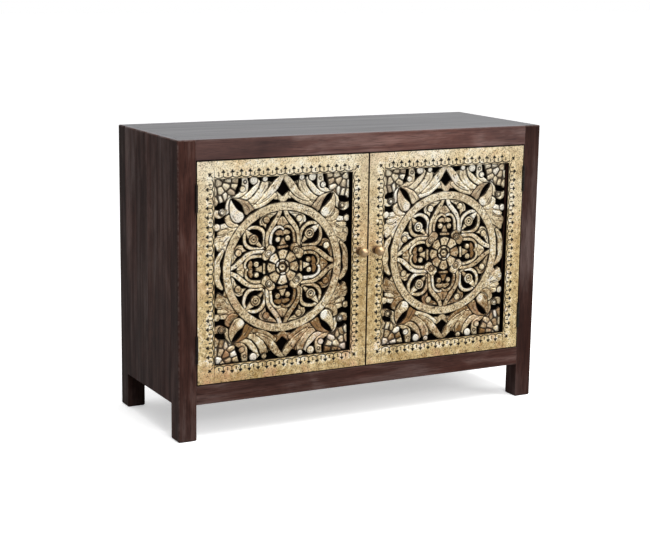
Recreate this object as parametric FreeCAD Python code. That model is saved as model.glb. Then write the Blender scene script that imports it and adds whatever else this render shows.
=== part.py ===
import FreeCAD, Part
import math
import os

os.makedirs("parts", exist_ok=True)

# A low two-door cabinet on four posts, with a pierced and carved panel in each door.
# X runs along the front, Y from the front to the back and Z up. The origin is on the
# floor, under the middle of the box that holds the whole cabinet with its knobs.

# Overall sizes, in millimetres
cabinet_width = 1050.0
carcass_depth = 400.0
cabinet_height = 750.0
floor_clearance = 92.0

# Posts and rails
post_side = 48.0
foot_chamfer = 3.0
top_rail_height = 50.0
bottom_rail_height = 48.0
side_rail_thickness = 24.0
side_rail_height = 48.0
side_rail_shoulder = 7.0

# Joinery: stub tenons in mortises, and panels held in grooves
tenon_length = 18.0
tenon_face_shoulder = 6.0
tenon_edge_shoulder = 10.0
joint_clearance = 0.2
end_clearance = 0.5
groove_depth = 8.0

# Boards and panels of the case
board_thickness = 20.0
side_board_count = 4
tongue_thickness = 8.0
top_board_count = 4
bottom_board_count = 4
back_board_thickness = 10.0
back_board_count = 8
back_setback = 7.0
shelf_thickness = 18.0
shelf_rise = 282.0
shelf_setback = 60.0
cleat_side = 20.0

# Doors
door_thickness = 26.0
door_gap = 2.0
door_member_width = 46.0
stop_clearance = 0.5
backing_thickness = 5.0
carving_recess = 8.5
carving_depth = 9.5
carving_clearance = 0.3
carving_side_gap = 5.0
carving_ring_margin = 26.0
carving_ring_width = 21.0

# Door stops
stop_depth = 12.0
top_stop_seat = 14.0
stop_overlap = 12.0

# Butt hinges
hinge_length = 66.0
hinge_end_distance = 90.0
hinge_axis_forward = 1.0
barrel_radius = 3.5
leaf_width = 20.0
leaf_thickness = 2.0
leaf_gap = 0.4
knuckle_count = 5
knuckle_clearance = 0.3
barrel_notch_clearance = 0.5
hinge_pin_radius = 1.5
hinge_pin_clearance = 0.08
pin_head_radius = 2.6
pin_head_height = 1.5
hinge_screw_spacing = 21.0

# Screws of the hinges and strike plates
small_screw_radius = 1.5
small_screw_length = 16.0
small_head_radius = 3.0
small_head_height = 1.4

# Screws of the case
case_screw_radius = 1.75
case_screw_length = 25.0
case_head_radius = 3.5
case_head_height = 2.0
screw_clearance = 0.05
cleat_screw_inset = 40.0
stop_screw_inset = 60.0
stop_screw_count = 5
cleat_screw_count = 3

# Knobs
ball_radius = 12.0
ball_stand = 24.0
rose_radius = 11.0
rose_thickness = 3.0
neck_base_radius = 7.5
neck_radius = 4.5
neck_flare_height = 5.0
knob_height = 305.0
knob_screw_radius = 2.0
knob_screw_head_radius = 4.0
knob_screw_head_height = 2.4
knob_thread_depth = 11.0

# Magnetic catch behind the tops of the doors
catch_length = 60.0
catch_depth = 16.0
catch_height = 12.0
catch_screw_inset = 6.0
magnet_length = 16.0
magnet_depth = 4.0
magnet_height = 7.0
magnet_spacing = 32.0
catch_standoff = 0.4
strike_length = 24.0
strike_height = 12.0
strike_thickness = 1.6

# How far a cut runs past the face that it opens
overrun = 1.0

# Planes and places that follow from the sizes above
knob_reach = ball_stand + ball_radius
face_y = (knob_reach - carcass_depth) / 2
rear_y = face_y + carcass_depth
half_width = cabinet_width / 2
post_inner = half_width - post_side
rail_thickness = door_thickness + stop_clearance
board_inner = half_width - board_thickness
opening_bottom = floor_clearance + bottom_rail_height
opening_top = cabinet_height - top_rail_height
case_floor = opening_bottom
case_ceiling = cabinet_height - board_thickness
back_board_front = rear_y - back_setback - back_board_thickness
shelf_top = case_floor + shelf_rise
side_depth = carcass_depth - 2 * post_side

door_bottom = opening_bottom + door_gap
door_top = opening_top - door_gap
door_height = door_top - door_bottom
door_outer = post_inner - door_gap
door_inner = door_gap / 2
door_width = door_outer - door_inner
panel_half_width = door_width / 2 - door_member_width
panel_half_height = door_height / 2 - door_member_width
panel_centre_x = (door_outer + door_inner) / 2
panel_centre_z = (door_bottom + door_top) / 2
carving_front = face_y + carving_recess
backing_front = carving_front + carving_depth
door_back = face_y + door_thickness

hinge_axis_x = post_inner - door_gap / 2
hinge_axis_y = face_y - hinge_axis_forward
hinge_heights = (door_bottom + hinge_end_distance, door_top - hinge_end_distance)
knuckle_length = hinge_length / knuckle_count
knob_x = door_inner + door_member_width / 2
knob_z = door_bottom + knob_height
strike_z = opening_top - stop_overlap - catch_height / 2
strike_x = door_inner + magnet_spacing / 2

# The carving, as shares chosen by eye. Up to the ring a share is of the ring's outer
# radius. Beyond it, shares run on to the panel's edges: one beside it, one above it.
side_edge_share = 1.127
top_edge_share = 1.404
carving_radius = min(panel_half_width, panel_half_height) - carving_ring_margin
carving_half_width = panel_half_width - carving_side_gap
carving_half_height = panel_half_height - carving_clearance

# How deep each layer of the carving lies, as a share of the carving's depth
ring_level_share = 0.0
strap_level_share = 0.1
petal_level_share = 0.18
leaf_level_share = 0.3

# Rosette
quarter_count = 4
petal_count = 2 * quarter_count
petal_place_share = 0.19
petal_radius_share = 0.088
rosette_core_share = 0.122
rosette_boss_share = 0.036

# Inside the ring, in eight places: start, middle, end and width of each strap
lobe_strap_shares = ((0.045, 0.87), (0.235, 0.60), (0.26, 0.31), 0.068)
lobe_hoop_shares = ((0.0, 0.585), (0.155, 0.56), (0.194, 0.37), 0.052)
eye_strap_shares = ((0.32, 0.33), (0.405, 0.625), (0.64, 0.63), 0.062)
ring_leaf_shares = ((0.10, 0.85), (0.39, 0.765), 0.045, 0.065)
ring_curl_shares = ((0.305, 0.69), 0.056)
volute_shares = ((0.08, 0.436), 0.042)

# Inside the ring, in four places on the axes or on the diagonals
bud_shares = ((0.0, 0.60), (0.0, 0.80), 0.125, 0.125)
stem_shares = ((0.0, 0.25), (0.0, 0.60), 0.045, 0.045)
collar_shares = ((-0.055, 0.322), (0.055, 0.322), 0.04)
block_shares = ((0.17, 0.17), (0.335, 0.335), 0.15)
iris_shares = ((0.467, 0.467), 0.085)
eye_bar_shares = ((0.52, 0.52), (0.63, 0.63), 0.06)

# Outside the ring, in four mirrored places: leaves as two tips and two bulges
outer_leaf_shares = (
    ((0.135, 1.053), (0.254, 1.348), 0.043, 0.043),
    ((0.231, 1.039), (0.316, 1.404), 0.047, 0.047),
    ((0.079, 1.123), (0.874, 1.109), 0.051, 0.203),
    ((0.603, 1.067), (0.643, 1.418), 0.056, 0.056),
    ((0.496, 0.814), (0.733, 1.123), 0.079, 0.068),
    ((0.631, 0.744), (0.891, 1.123), 0.017, 0.113),
    ((0.924, 0.885), (1.127, 0.871), 0.065, 0.065),
    ((0.823, 0.807), (1.127, 0.702), 0.051, 0.051),
    ((0.891, 0.667), (1.116, 0.555), 0.051, 0.051),
    ((0.721, 0.702), (1.127, 0.372), 0.079, 0.101),
)
outer_strap_shares = (
    ((0.023, 1.025), (0.141, 1.210), (0.0, 1.400), 0.073),
    ((0.654, 1.090), (0.451, 1.198), (0.400, 1.344), 0.062),
    ((0.849, 1.109), (0.902, 0.941), (1.026, 0.843), 0.068),
)
outer_bead_shares = (
    ((0.473, 1.344), 0.062),
    ((0.676, 1.229), 0.051),
    ((1.071, 0.684), 0.056),
)
pebble_shares = (
    ((0.789, 1.341), 0.070),
    ((0.924, 1.341), 0.074),
    ((1.060, 1.334), 0.068),
    ((0.800, 1.243), 0.059),
    ((0.924, 1.243), 0.056),
    ((1.031, 1.229), 0.063),
    ((0.851, 1.158), 0.056),
    ((0.958, 1.123), 0.059),
    ((1.071, 1.123), 0.056),
)
bracket_shares = ((0.969, 0.330), (1.088, 0.0), (0.969, -0.330), 0.096)


def block(x_a, x_b, y_a, y_b, z_a, z_b):
    corner = FreeCAD.Vector(min(x_a, x_b), min(y_a, y_b), min(z_a, z_b))
    return Part.makeBox(abs(x_b - x_a), abs(y_b - y_a), abs(z_b - z_a), corner)


def fused(shapes):
    first = shapes[0]
    if len(shapes) == 1:
        return first
    return first.multiFuse(shapes[1:]).removeSplitter()


def carved(shape, cuts):
    return shape.cut(Part.makeCompound(cuts))


def save(node, shapes):
    if len(shapes) == 1:
        result = shapes[0]
    else:
        result = Part.makeCompound(shapes)
    result.exportStep("parts/" + node + ".step")
    print(node, len(result.Solids))


# Screws: a countersunk head flush with the surface at the point given
def screw(point, direction, radius, length, head_radius, head_height):
    head = Part.makeCone(head_radius, radius, head_height, point, direction)
    shank_length = length - radius
    shank = Part.makeCylinder(radius, shank_length, point, direction)
    tip_place = point + direction * shank_length
    tip = Part.makeCone(radius, 0, length - shank_length, tip_place, direction)
    return fused([head, shank, tip])


# The hole that a screw leaves, a little larger than the screw all round
def screw_hole(point, direction, radius, length, head_radius, head_height):
    grown = screw_clearance
    start = point - direction * overrun
    mouth = Part.makeCylinder(head_radius + grown, overrun, start, direction)
    head = Part.makeCone(head_radius + grown, radius + grown, head_height, point, direction)
    bore = Part.makeCylinder(radius + grown, length + grown, start + direction * overrun, direction)
    return mouth.multiFuse([head, bore])


def small_screw(point, direction):
    return screw(point, direction, small_screw_radius, small_screw_length,
                 small_head_radius, small_head_height)


def small_hole(point, direction):
    return screw_hole(point, direction, small_screw_radius, small_screw_length,
                      small_head_radius, small_head_height)


def case_screw(point, direction):
    return screw(point, direction, case_screw_radius, case_screw_length,
                 case_head_radius, case_head_height)


def case_hole(point, direction):
    return screw_hole(point, direction, case_screw_radius, case_screw_length,
                      case_head_radius, case_head_height)


# Tenon at one end of a rail that runs along X, or the mortise that takes it
def tenon_x(side, reach_x, y_a, y_b, z_a, z_b, grown, extra):
    return block(side * (reach_x - overrun * grown), side * (reach_x + tenon_length + extra),
                 y_a + tenon_face_shoulder - joint_clearance * grown,
                 y_b - tenon_face_shoulder + joint_clearance * grown,
                 z_a + tenon_edge_shoulder - joint_clearance * grown,
                 z_b - tenon_edge_shoulder + joint_clearance * grown)


def rail_tenon(side, reach_x, y_a, y_b, z_a, z_b):
    return tenon_x(side, reach_x, y_a, y_b, z_a, z_b, 0, 0)


def rail_mortise(side, reach_x, y_a, y_b, z_a, z_b):
    return tenon_x(side, reach_x, y_a, y_b, z_a, z_b, 1, end_clearance)


# Side rails run along Y behind the side boards and carry the top and the floor
side_rail_spans = {
    "upper": (case_ceiling - side_rail_height, case_ceiling),
    "lower": (floor_clearance, case_floor - board_thickness),
}


def side_rail_tenon(side, end, level, grown, extra):
    z_a, z_b = side_rail_spans[level]
    if end < 0:
        shoulder_y = face_y + post_side
    else:
        shoulder_y = rear_y - post_side
    x_a = board_inner - side_rail_shoulder + joint_clearance * grown
    x_b = board_inner - side_rail_thickness + side_rail_shoulder - joint_clearance * grown
    return block(side * x_a, side * x_b,
                 shoulder_y - end * overrun * grown, shoulder_y + end * (tenon_length + extra),
                 z_a + side_rail_shoulder - joint_clearance * grown,
                 z_b - side_rail_shoulder + joint_clearance * grown)


def side_rail(side, level):
    z_a, z_b = side_rail_spans[level]
    body = block(side * board_inner, side * (board_inner - side_rail_thickness),
                 face_y + post_side, rear_y - post_side, z_a, z_b)
    return fused([body, side_rail_tenon(side, -1, level, 0, 0), side_rail_tenon(side, 1, level, 0, 0)])


# Hinges: the axis stands in the gap beside each door, just in front of its face
def barrel(side, height, radius, reach):
    base = FreeCAD.Vector(side * hinge_axis_x, hinge_axis_y, height - reach)
    return Part.makeCylinder(radius, 2 * reach, base)


def hinge_recess(side, height, toward):
    plate_face = side * hinge_axis_x + toward * (leaf_gap / 2 + leaf_thickness)
    bed = block(side * hinge_axis_x, plate_face,
                face_y - overrun, face_y + leaf_width + joint_clearance,
                height - hinge_length / 2 - joint_clearance,
                height + hinge_length / 2 + joint_clearance)
    notch = barrel(side, height, barrel_radius + barrel_notch_clearance,
                   hinge_length / 2 + pin_head_height + barrel_notch_clearance)
    return [bed, notch]


def hinge_screw_points(side, height, toward):
    x = side * hinge_axis_x + toward * leaf_gap / 2
    y = face_y + leaf_width / 2
    steps = (-1, 0, 1)
    return [FreeCAD.Vector(x, y, height + step * hinge_screw_spacing) for step in steps]


def hinge_leaf(side, height, toward, knuckles):
    inner_face = side * hinge_axis_x + toward * leaf_gap / 2
    plate = block(inner_face, inner_face + toward * leaf_thickness,
                  hinge_axis_y, face_y + leaf_width,
                  height - hinge_length / 2, height + hinge_length / 2)
    base_z = height - hinge_length / 2
    gaps = []
    rings = []
    for index in range(knuckle_count):
        low = base_z + index * knuckle_length
        if index in knuckles:
            base = FreeCAD.Vector(side * hinge_axis_x, hinge_axis_y, low + knuckle_clearance / 2)
            rings.append(Part.makeCylinder(barrel_radius, knuckle_length - knuckle_clearance, base))
        else:
            base = FreeCAD.Vector(side * hinge_axis_x, hinge_axis_y, low - knuckle_clearance / 2)
            gaps.append(Part.makeCylinder(barrel_radius + knuckle_clearance,
                                          knuckle_length + knuckle_clearance, base))
    leaf = fused([carved(plate, gaps)] + rings)
    bore = barrel(side, height, hinge_pin_radius + hinge_pin_clearance, hinge_length)
    direction = FreeCAD.Vector(toward, 0, 0)
    holes = [small_hole(point, direction) for point in hinge_screw_points(side, height, toward)]
    return carved(leaf, [bore] + holes)


def hinge_pin(side, height):
    shaft = barrel(side, height, hinge_pin_radius, hinge_length / 2 + pin_head_height)
    heads = []
    for end in (-1, 1):
        low = height + end * (hinge_length + pin_head_height) / 2 - pin_head_height / 2
        base = FreeCAD.Vector(side * hinge_axis_x, hinge_axis_y, low)
        heads.append(Part.makeCylinder(pin_head_radius, pin_head_height, base))
    return fused([shaft] + heads)


fixed_knuckles = range(0, knuckle_count, 2)
moving_knuckles = range(1, knuckle_count, 2)


# Case joinery
front_rail_y = (face_y, face_y + rail_thickness)
back_rail_y = (rear_y - rail_thickness, rear_y)
top_rail_z = (opening_top, cabinet_height)
bottom_rail_z = (floor_clearance, opening_bottom)


def back_board_groove():
    return block(-post_inner - groove_depth - end_clearance, post_inner + groove_depth + end_clearance,
                 back_board_front - joint_clearance, rear_y - back_setback + joint_clearance,
                 opening_bottom - groove_depth - end_clearance,
                 opening_top + groove_depth + end_clearance)


def side_board_groove(side, end):
    if end < 0:
        shoulder_y = face_y + post_side
    else:
        shoulder_y = rear_y - post_side
    middle = half_width - board_thickness / 2
    half_tongue = tongue_thickness / 2 + joint_clearance
    return block(side * (middle - half_tongue), side * (middle + half_tongue),
                 shoulder_y - end * overrun, shoulder_y + end * (groove_depth + end_clearance),
                 floor_clearance - joint_clearance, cabinet_height + overrun)


def post(side, end):
    if end < 0:
        y_a, y_b = face_y, face_y + post_side
        rail_y = front_rail_y
    else:
        y_a, y_b = rear_y - post_side, rear_y
        rail_y = back_rail_y
    body = block(side * post_inner, side * half_width, y_a, y_b, 0, cabinet_height)
    foot_edges = [edge for edge in body.Edges if edge.BoundBox.ZMax < foot_chamfer]
    body = body.makeChamfer(foot_chamfer, foot_edges)
    cuts = [side_board_groove(side, end)]
    for level in side_rail_spans:
        cuts.append(side_rail_tenon(side, end, level, 1, end_clearance))
    for z_a, z_b in (top_rail_z, bottom_rail_z):
        cuts.append(rail_mortise(side, post_inner, rail_y[0], rail_y[1], z_a, z_b))
    if end > 0:
        cuts.append(back_board_groove())
        return carved(body, cuts)
    for height in hinge_heights:
        cuts.extend(hinge_recess(side, height, side))
        direction = FreeCAD.Vector(side, 0, 0)
        for point in hinge_screw_points(side, height, side):
            cuts.append(small_hole(point, direction))
    return carved(body, cuts)


def rail(rail_y, rail_z, cuts):
    body = block(-post_inner, post_inner, rail_y[0], rail_y[1], rail_z[0], rail_z[1])
    tenons = [rail_tenon(side, post_inner, rail_y[0], rail_y[1], rail_z[0], rail_z[1]) for side in (-1, 1)]
    whole = fused([body] + tenons)
    if cuts:
        return carved(whole, cuts)
    return whole


# Boards
def side_boards(side):
    y_start = face_y + post_side
    board_width = side_depth / side_board_count
    middle = half_width - board_thickness / 2
    boards = []
    for index in range(side_board_count):
        y_a = y_start + index * board_width
        y_b = y_a + board_width
        pieces = [block(side * half_width, side * board_inner, y_a, y_b, floor_clearance, cabinet_height)]
        if index == 0:
            pieces.append(block(side * (middle - tongue_thickness / 2), side * (middle + tongue_thickness / 2),
                                y_a - groove_depth, y_a, floor_clearance, cabinet_height))
        if index == side_board_count - 1:
            pieces.append(block(side * (middle - tongue_thickness / 2), side * (middle + tongue_thickness / 2),
                                y_b, y_b + groove_depth, floor_clearance, cabinet_height))
        boards.append(fused(pieces))
    return boards


# Boards that run along X between the rails, notched round the posts
def long_boards(count, z_low, z_high, cuts):
    y_start = face_y + rail_thickness
    board_width = (carcass_depth - 2 * rail_thickness) / count
    reach = board_inner - joint_clearance
    corners = []
    for side in (-1, 1):
        corners.append(block(side * (post_inner - joint_clearance), side * half_width,
                             face_y, face_y + post_side + joint_clearance, z_low - overrun, z_high + overrun))
        corners.append(block(side * (post_inner - joint_clearance), side * half_width,
                             rear_y - post_side - joint_clearance, rear_y, z_low - overrun, z_high + overrun))
    boards = []
    for index in range(count):
        y_a = y_start + index * board_width
        plank = block(-reach, reach, y_a, y_a + board_width, z_low, z_high)
        boards.append(carved(plank, corners + cuts))
    return boards


def back_boards():
    reach = post_inner + groove_depth
    board_width = 2 * reach / back_board_count
    z_a = opening_bottom - groove_depth
    z_b = opening_top + groove_depth
    boards = []
    for index in range(back_board_count):
        x_a = -reach + index * board_width
        boards.append(block(x_a, x_a + board_width, back_board_front, rear_y - back_setback, z_a, z_b))
    return boards


def shelf():
    reach = board_inner - joint_clearance
    plank = block(-reach, reach, face_y + shelf_setback, back_board_front - joint_clearance,
                  shelf_top - shelf_thickness, shelf_top)
    notches = []
    for side in (-1, 1):
        notches.append(block(side * (post_inner - joint_clearance), side * half_width,
                             rear_y - post_side - joint_clearance, rear_y,
                             shelf_top - shelf_thickness - overrun, shelf_top + overrun))
    return carved(plank, notches)


cleat_top = shelf_top - shelf_thickness
cleat_y = (face_y + post_side, rear_y - post_side)


def cleat_screw_points(side):
    first = cleat_y[0] + cleat_screw_inset
    step = (cleat_y[1] - cleat_y[0] - 2 * cleat_screw_inset) / (cleat_screw_count - 1)
    x = side * (board_inner - cleat_side)
    z = cleat_top - cleat_side / 2
    return [FreeCAD.Vector(x, first + index * step, z) for index in range(cleat_screw_count)]


def shelf_cleat(side):
    body = block(side * board_inner, side * (board_inner - cleat_side),
                 cleat_y[0], cleat_y[1], cleat_top - cleat_side, cleat_top)
    direction = FreeCAD.Vector(side, 0, 0)
    return carved(body, [case_hole(point, direction) for point in cleat_screw_points(side)])


# Door stops, screwed to the back of the top rail and down into the floor boards
stop_y = (face_y + rail_thickness, face_y + rail_thickness + stop_depth)
top_stop_z = (opening_top - stop_overlap, opening_top + top_stop_seat)
bottom_stop_z = (case_floor, case_floor + stop_overlap)
stop_reach = post_inner - joint_clearance


def stop_screw_places():
    first = -post_inner + stop_screw_inset
    step = 2 * (post_inner - stop_screw_inset) / (stop_screw_count - 1)
    return [first + index * step for index in range(stop_screw_count)]


def top_stop_screw_points():
    z = opening_top + top_stop_seat / 2
    return [FreeCAD.Vector(x, stop_y[1], z) for x in stop_screw_places()]


def bottom_stop_screw_points():
    y = (stop_y[0] + stop_y[1]) / 2
    return [FreeCAD.Vector(x, y, bottom_stop_z[1]) for x in stop_screw_places()]


def catch_screw_points():
    y = stop_y[0] + stop_depth / 2
    x = catch_length / 2 - catch_screw_inset
    return [FreeCAD.Vector(sign * x, y, top_stop_z[0] - catch_height) for sign in (-1, 1)]


forward = FreeCAD.Vector(0, -1, 0)
down = FreeCAD.Vector(0, 0, -1)
up = FreeCAD.Vector(0, 0, 1)


def top_stop():
    body = block(-stop_reach, stop_reach, stop_y[0], stop_y[1], top_stop_z[0], top_stop_z[1])
    holes = [case_hole(point, forward) for point in top_stop_screw_points()]
    holes += [case_hole(point, up) for point in catch_screw_points()]
    return carved(body, holes)


def bottom_stop():
    body = block(-stop_reach, stop_reach, stop_y[0], stop_y[1], bottom_stop_z[0], bottom_stop_z[1])
    return carved(body, [case_hole(point, down) for point in bottom_stop_screw_points()])


# Magnetic catch: a housing under the top stop, with one magnet facing each door
catch_front = door_back + catch_standoff


def magnet_block(sign, grown):
    x = sign * magnet_spacing / 2
    z = top_stop_z[0] - catch_height / 2
    return block(x - magnet_length / 2 - grown, x + magnet_length / 2 + grown,
                 catch_front, catch_front + magnet_depth + grown,
                 z - magnet_height / 2 - grown, z + magnet_height / 2 + grown)


def catch_housing():
    body = block(-catch_length / 2, catch_length / 2, catch_front, catch_front + catch_depth,
                 top_stop_z[0] - catch_height, top_stop_z[0])
    pockets = [magnet_block(sign, joint_clearance / 2) for sign in (-1, 1)]
    holes = [case_hole(point, up) for point in catch_screw_points()]
    return carved(body, pockets + holes)


# Doors. Each is drawn on the side given, -1 for the left one and 1 for the right one.
door_rail_z = {
    "top": (door_top - door_member_width, door_top),
    "bottom": (door_bottom, door_bottom + door_member_width),
}
door_rail_inner = door_inner + door_member_width
door_rail_outer = door_outer - door_member_width


# Tenon of a door rail, or its mortise; end is 1 towards the hinges and -1 away from them
def door_tenon(side, end, level, grown, extra):
    z_a, z_b = door_rail_z[level]
    if end > 0:
        shoulder = door_rail_outer
    else:
        shoulder = door_rail_inner
    return block(side * (shoulder - end * overrun * grown), side * (shoulder + end * (tenon_length + extra)),
                 face_y + tenon_face_shoulder - joint_clearance * grown,
                 door_back - tenon_face_shoulder + joint_clearance * grown,
                 z_a + tenon_edge_shoulder - joint_clearance * grown,
                 z_b - tenon_edge_shoulder + joint_clearance * grown)


def backing_block(side, grown, extra):
    reach_x = panel_half_width + groove_depth + extra
    reach_z = panel_half_height + groove_depth + extra
    return block(side * panel_centre_x - reach_x, side * panel_centre_x + reach_x,
                 backing_front - grown, backing_front + backing_thickness + grown,
                 panel_centre_z - reach_z, panel_centre_z + reach_z)


def door_grooves(side):
    return backing_block(side, joint_clearance / 2, end_clearance)


def door_rail(side, level):
    z_a, z_b = door_rail_z[level]
    body = block(side * door_rail_inner, side * door_rail_outer, face_y, door_back, z_a, z_b)
    tenons = [door_tenon(side, end, level, 0, 0) for end in (-1, 1)]
    return carved(fused([body] + tenons), [door_grooves(side)])


def strike_plate_block(side, grown):
    x = side * strike_x
    return block(x - strike_length / 2 - grown, x + strike_length / 2 + grown,
                 door_back - strike_thickness - grown, door_back,
                 strike_z - strike_height / 2 - grown, strike_z + strike_height / 2 + grown)


def strike_point(side):
    return FreeCAD.Vector(side * strike_x, door_back, strike_z)


def knob_bore(side, y_a, y_b):
    base = FreeCAD.Vector(side * knob_x, y_a, knob_z)
    return Part.makeCylinder(knob_screw_radius + screw_clearance, y_b - y_a, base, FreeCAD.Vector(0, 1, 0))


def hinge_stile(side):
    body = block(side * door_rail_outer, side * door_outer, face_y, door_back, door_bottom, door_top)
    cuts = [door_tenon(side, 1, level, 1, end_clearance) for level in door_rail_z]
    cuts.append(door_grooves(side))
    for height in hinge_heights:
        cuts.extend(hinge_recess(side, height, -side))
        direction = FreeCAD.Vector(-side, 0, 0)
        for point in hinge_screw_points(side, height, -side):
            cuts.append(small_hole(point, direction))
    return carved(body, cuts)


def knob_head_sink(side):
    base = FreeCAD.Vector(side * knob_x, door_back, knob_z)
    return Part.makeCone(knob_screw_head_radius + screw_clearance, knob_screw_radius + screw_clearance,
                         knob_screw_head_height, base, forward)


def lock_stile(side):
    body = block(side * door_inner, side * door_rail_inner, face_y, door_back, door_bottom, door_top)
    cuts = [door_tenon(side, -1, level, 1, end_clearance) for level in door_rail_z]
    cuts.append(door_grooves(side))
    cuts.append(knob_bore(side, face_y - overrun, door_back + overrun))
    cuts.append(knob_head_sink(side))
    cuts.append(strike_plate_block(side, joint_clearance / 2))
    cuts.append(small_hole(strike_point(side), forward))
    return carved(body, cuts)


def strike_plate(side):
    return carved(strike_plate_block(side, 0), [small_hole(strike_point(side), forward)])


def knob_rose(side):
    base = FreeCAD.Vector(side * knob_x, face_y, knob_z)
    disc = Part.makeCylinder(rose_radius, rose_thickness, base, forward)
    rim = [edge for edge in disc.Edges if edge.BoundBox.YMax < face_y - rose_thickness / 2]
    disc = disc.makeFillet(rose_thickness / 2, rim)
    return carved(disc, [knob_bore(side, face_y - rose_thickness - overrun, face_y + overrun)])


def knob(side):
    seat = FreeCAD.Vector(side * knob_x, face_y - rose_thickness, knob_z)
    flare = Part.makeCone(neck_base_radius, neck_radius, neck_flare_height, seat, forward)
    neck = Part.makeCylinder(neck_radius, ball_stand - rose_thickness, seat, forward)
    centre = FreeCAD.Vector(side * knob_x, face_y - ball_stand, knob_z)
    ball = Part.makeSphere(ball_radius, centre)
    thread = knob_bore(side, seat.y - knob_thread_depth, seat.y + overrun)
    return carved(fused([ball, neck, flare]), [thread])


def knob_screw(side):
    start = FreeCAD.Vector(side * knob_x, door_back, knob_z)
    length = door_thickness + rose_thickness + knob_thread_depth - end_clearance
    head = Part.makeCone(knob_screw_head_radius, knob_screw_radius, knob_screw_head_height, start, forward)
    shank = Part.makeCylinder(knob_screw_radius, length, start, forward)
    return fused([head, shank])


# Carving: closed outlines in the plane of the panel, drawn back to the backing board. An
# outline is drawn in shares, and placed is the function that sets a share on the panel.
def panel_point(side, u, v):
    return FreeCAD.Vector(side * panel_centre_x + u, 0, panel_centre_z + v)


def stood_up(edges, drop):
    face = Part.Face(Part.Wire(edges))
    face.translate(FreeCAD.Vector(0, carving_front + drop, 0))
    return face.extrude(FreeCAD.Vector(0, carving_depth - drop, 0))


def arc(placed, first, middle, last):
    return Part.Arc(placed(first), placed(middle), placed(last)).toShape()


def line(placed, first, last):
    return Part.LineSegment(placed(first), placed(last)).toShape()


def across(first, last, distance):
    run_u = last[0] - first[0]
    run_v = last[1] - first[1]
    length = math.hypot(run_u, run_v)
    return (-run_v / length * distance, run_u / length * distance)


# A pointed leaf between two tips, with an arc on each side
def leaf(placed, tip, end, bulge, other_bulge, drop):
    middle = ((tip[0] + end[0]) / 2, (tip[1] + end[1]) / 2)
    left = across(tip, end, bulge)
    right = across(tip, end, -other_bulge)
    left_middle = (middle[0] + left[0], middle[1] + left[1])
    right_middle = (middle[0] + right[0], middle[1] + right[1])
    return stood_up([arc(placed, tip, left_middle, end), arc(placed, end, right_middle, tip)], drop)


# A strap of even width along an arc through three places
def strap(placed, start, middle, end, strap_width, drop):
    points = [FreeCAD.Vector(place[0], place[1], 0) for place in (start, middle, end)]
    circle = Part.Arc(points[0], points[1], points[2]).toShape().Curve
    centre = circle.Center
    radius = circle.Radius
    rims = []
    for rim_radius in (radius - strap_width / 2, radius + strap_width / 2):
        scale = rim_radius / radius
        rims.append([(centre.x + (point.x - centre.x) * scale, centre.y + (point.y - centre.y) * scale)
                     for point in points])
    inner, outer = rims
    edges = [arc(placed, inner[0], inner[1], inner[2]), line(placed, inner[2], outer[2]),
             arc(placed, outer[2], outer[1], outer[0]), line(placed, outer[0], inner[0])]
    return stood_up(edges, drop)


# A straight bar of even width
def bar(placed, start, end, bar_width, drop):
    half = across(start, end, bar_width / 2)
    corners = [(start[0] + half[0], start[1] + half[1]), (end[0] + half[0], end[1] + half[1]),
               (end[0] - half[0], end[1] - half[1]), (start[0] - half[0], start[1] - half[1])]
    following = corners[1:] + corners[:1]
    return stood_up([line(placed, first, last) for first, last in zip(corners, following)], drop)


# A bead as two arcs, above and below its centre
def bead(placed, centre, radius, drop):
    west = (centre[0] - radius, centre[1])
    east = (centre[0] + radius, centre[1])
    north = (centre[0], centre[1] + radius)
    south = (centre[0], centre[1] - radius)
    return stood_up([arc(placed, west, north, east), arc(placed, east, south, west)], drop)


# A disc round the middle of the panel
def disc(side, radius, drop):
    centre = panel_point(side, 0, 0) + FreeCAD.Vector(0, carving_front + drop, 0)
    return Part.makeCylinder(radius, carving_depth - drop, centre, FreeCAD.Vector(0, 1, 0))


def layer_drop(share):
    return share * carving_depth


# Inside the ring: shares of its radius, mirrored and turned by quarters
def ring_place(side, quarter_turns, mirror):
    def placed(share):
        u = mirror * share[0]
        v = share[1]
        for turn in range(quarter_turns):
            u, v = -v, u
        return panel_point(side, u * carving_radius, v * carving_radius)

    return placed


def past_ring(share, edge_share, half_extent):
    reach = abs(share)
    if reach <= 1:
        return share * carving_radius
    run = (reach - 1) / (edge_share - 1) * (half_extent - carving_radius)
    return math.copysign(carving_radius + run, share)


# Outside the ring: the shares past it end at the panel's edges, in mirrored quarters
def outer_place(side, mirror_u, mirror_v):
    def placed(share):
        u = past_ring(mirror_u * share[0], side_edge_share, carving_half_width)
        v = past_ring(mirror_v * share[1], top_edge_share, carving_half_height)
        return panel_point(side, u, v)

    return placed


def ring(side):
    drop = layer_drop(ring_level_share)
    hole = disc(side, carving_radius - carving_ring_width, drop - overrun)
    return disc(side, carving_radius, drop).cut(hole)


def rosette(side):
    placed = ring_place(side, 0, 1)
    shapes = [disc(side, rosette_core_share * carving_radius, layer_drop(strap_level_share)),
              disc(side, rosette_boss_share * carving_radius, layer_drop(ring_level_share))]
    for index in range(petal_count):
        angle = 2 * math.pi * index / petal_count
        centre = (petal_place_share * math.cos(angle), petal_place_share * math.sin(angle))
        shapes.append(bead(placed, centre, petal_radius_share, layer_drop(petal_level_share)))
    return shapes


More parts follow.
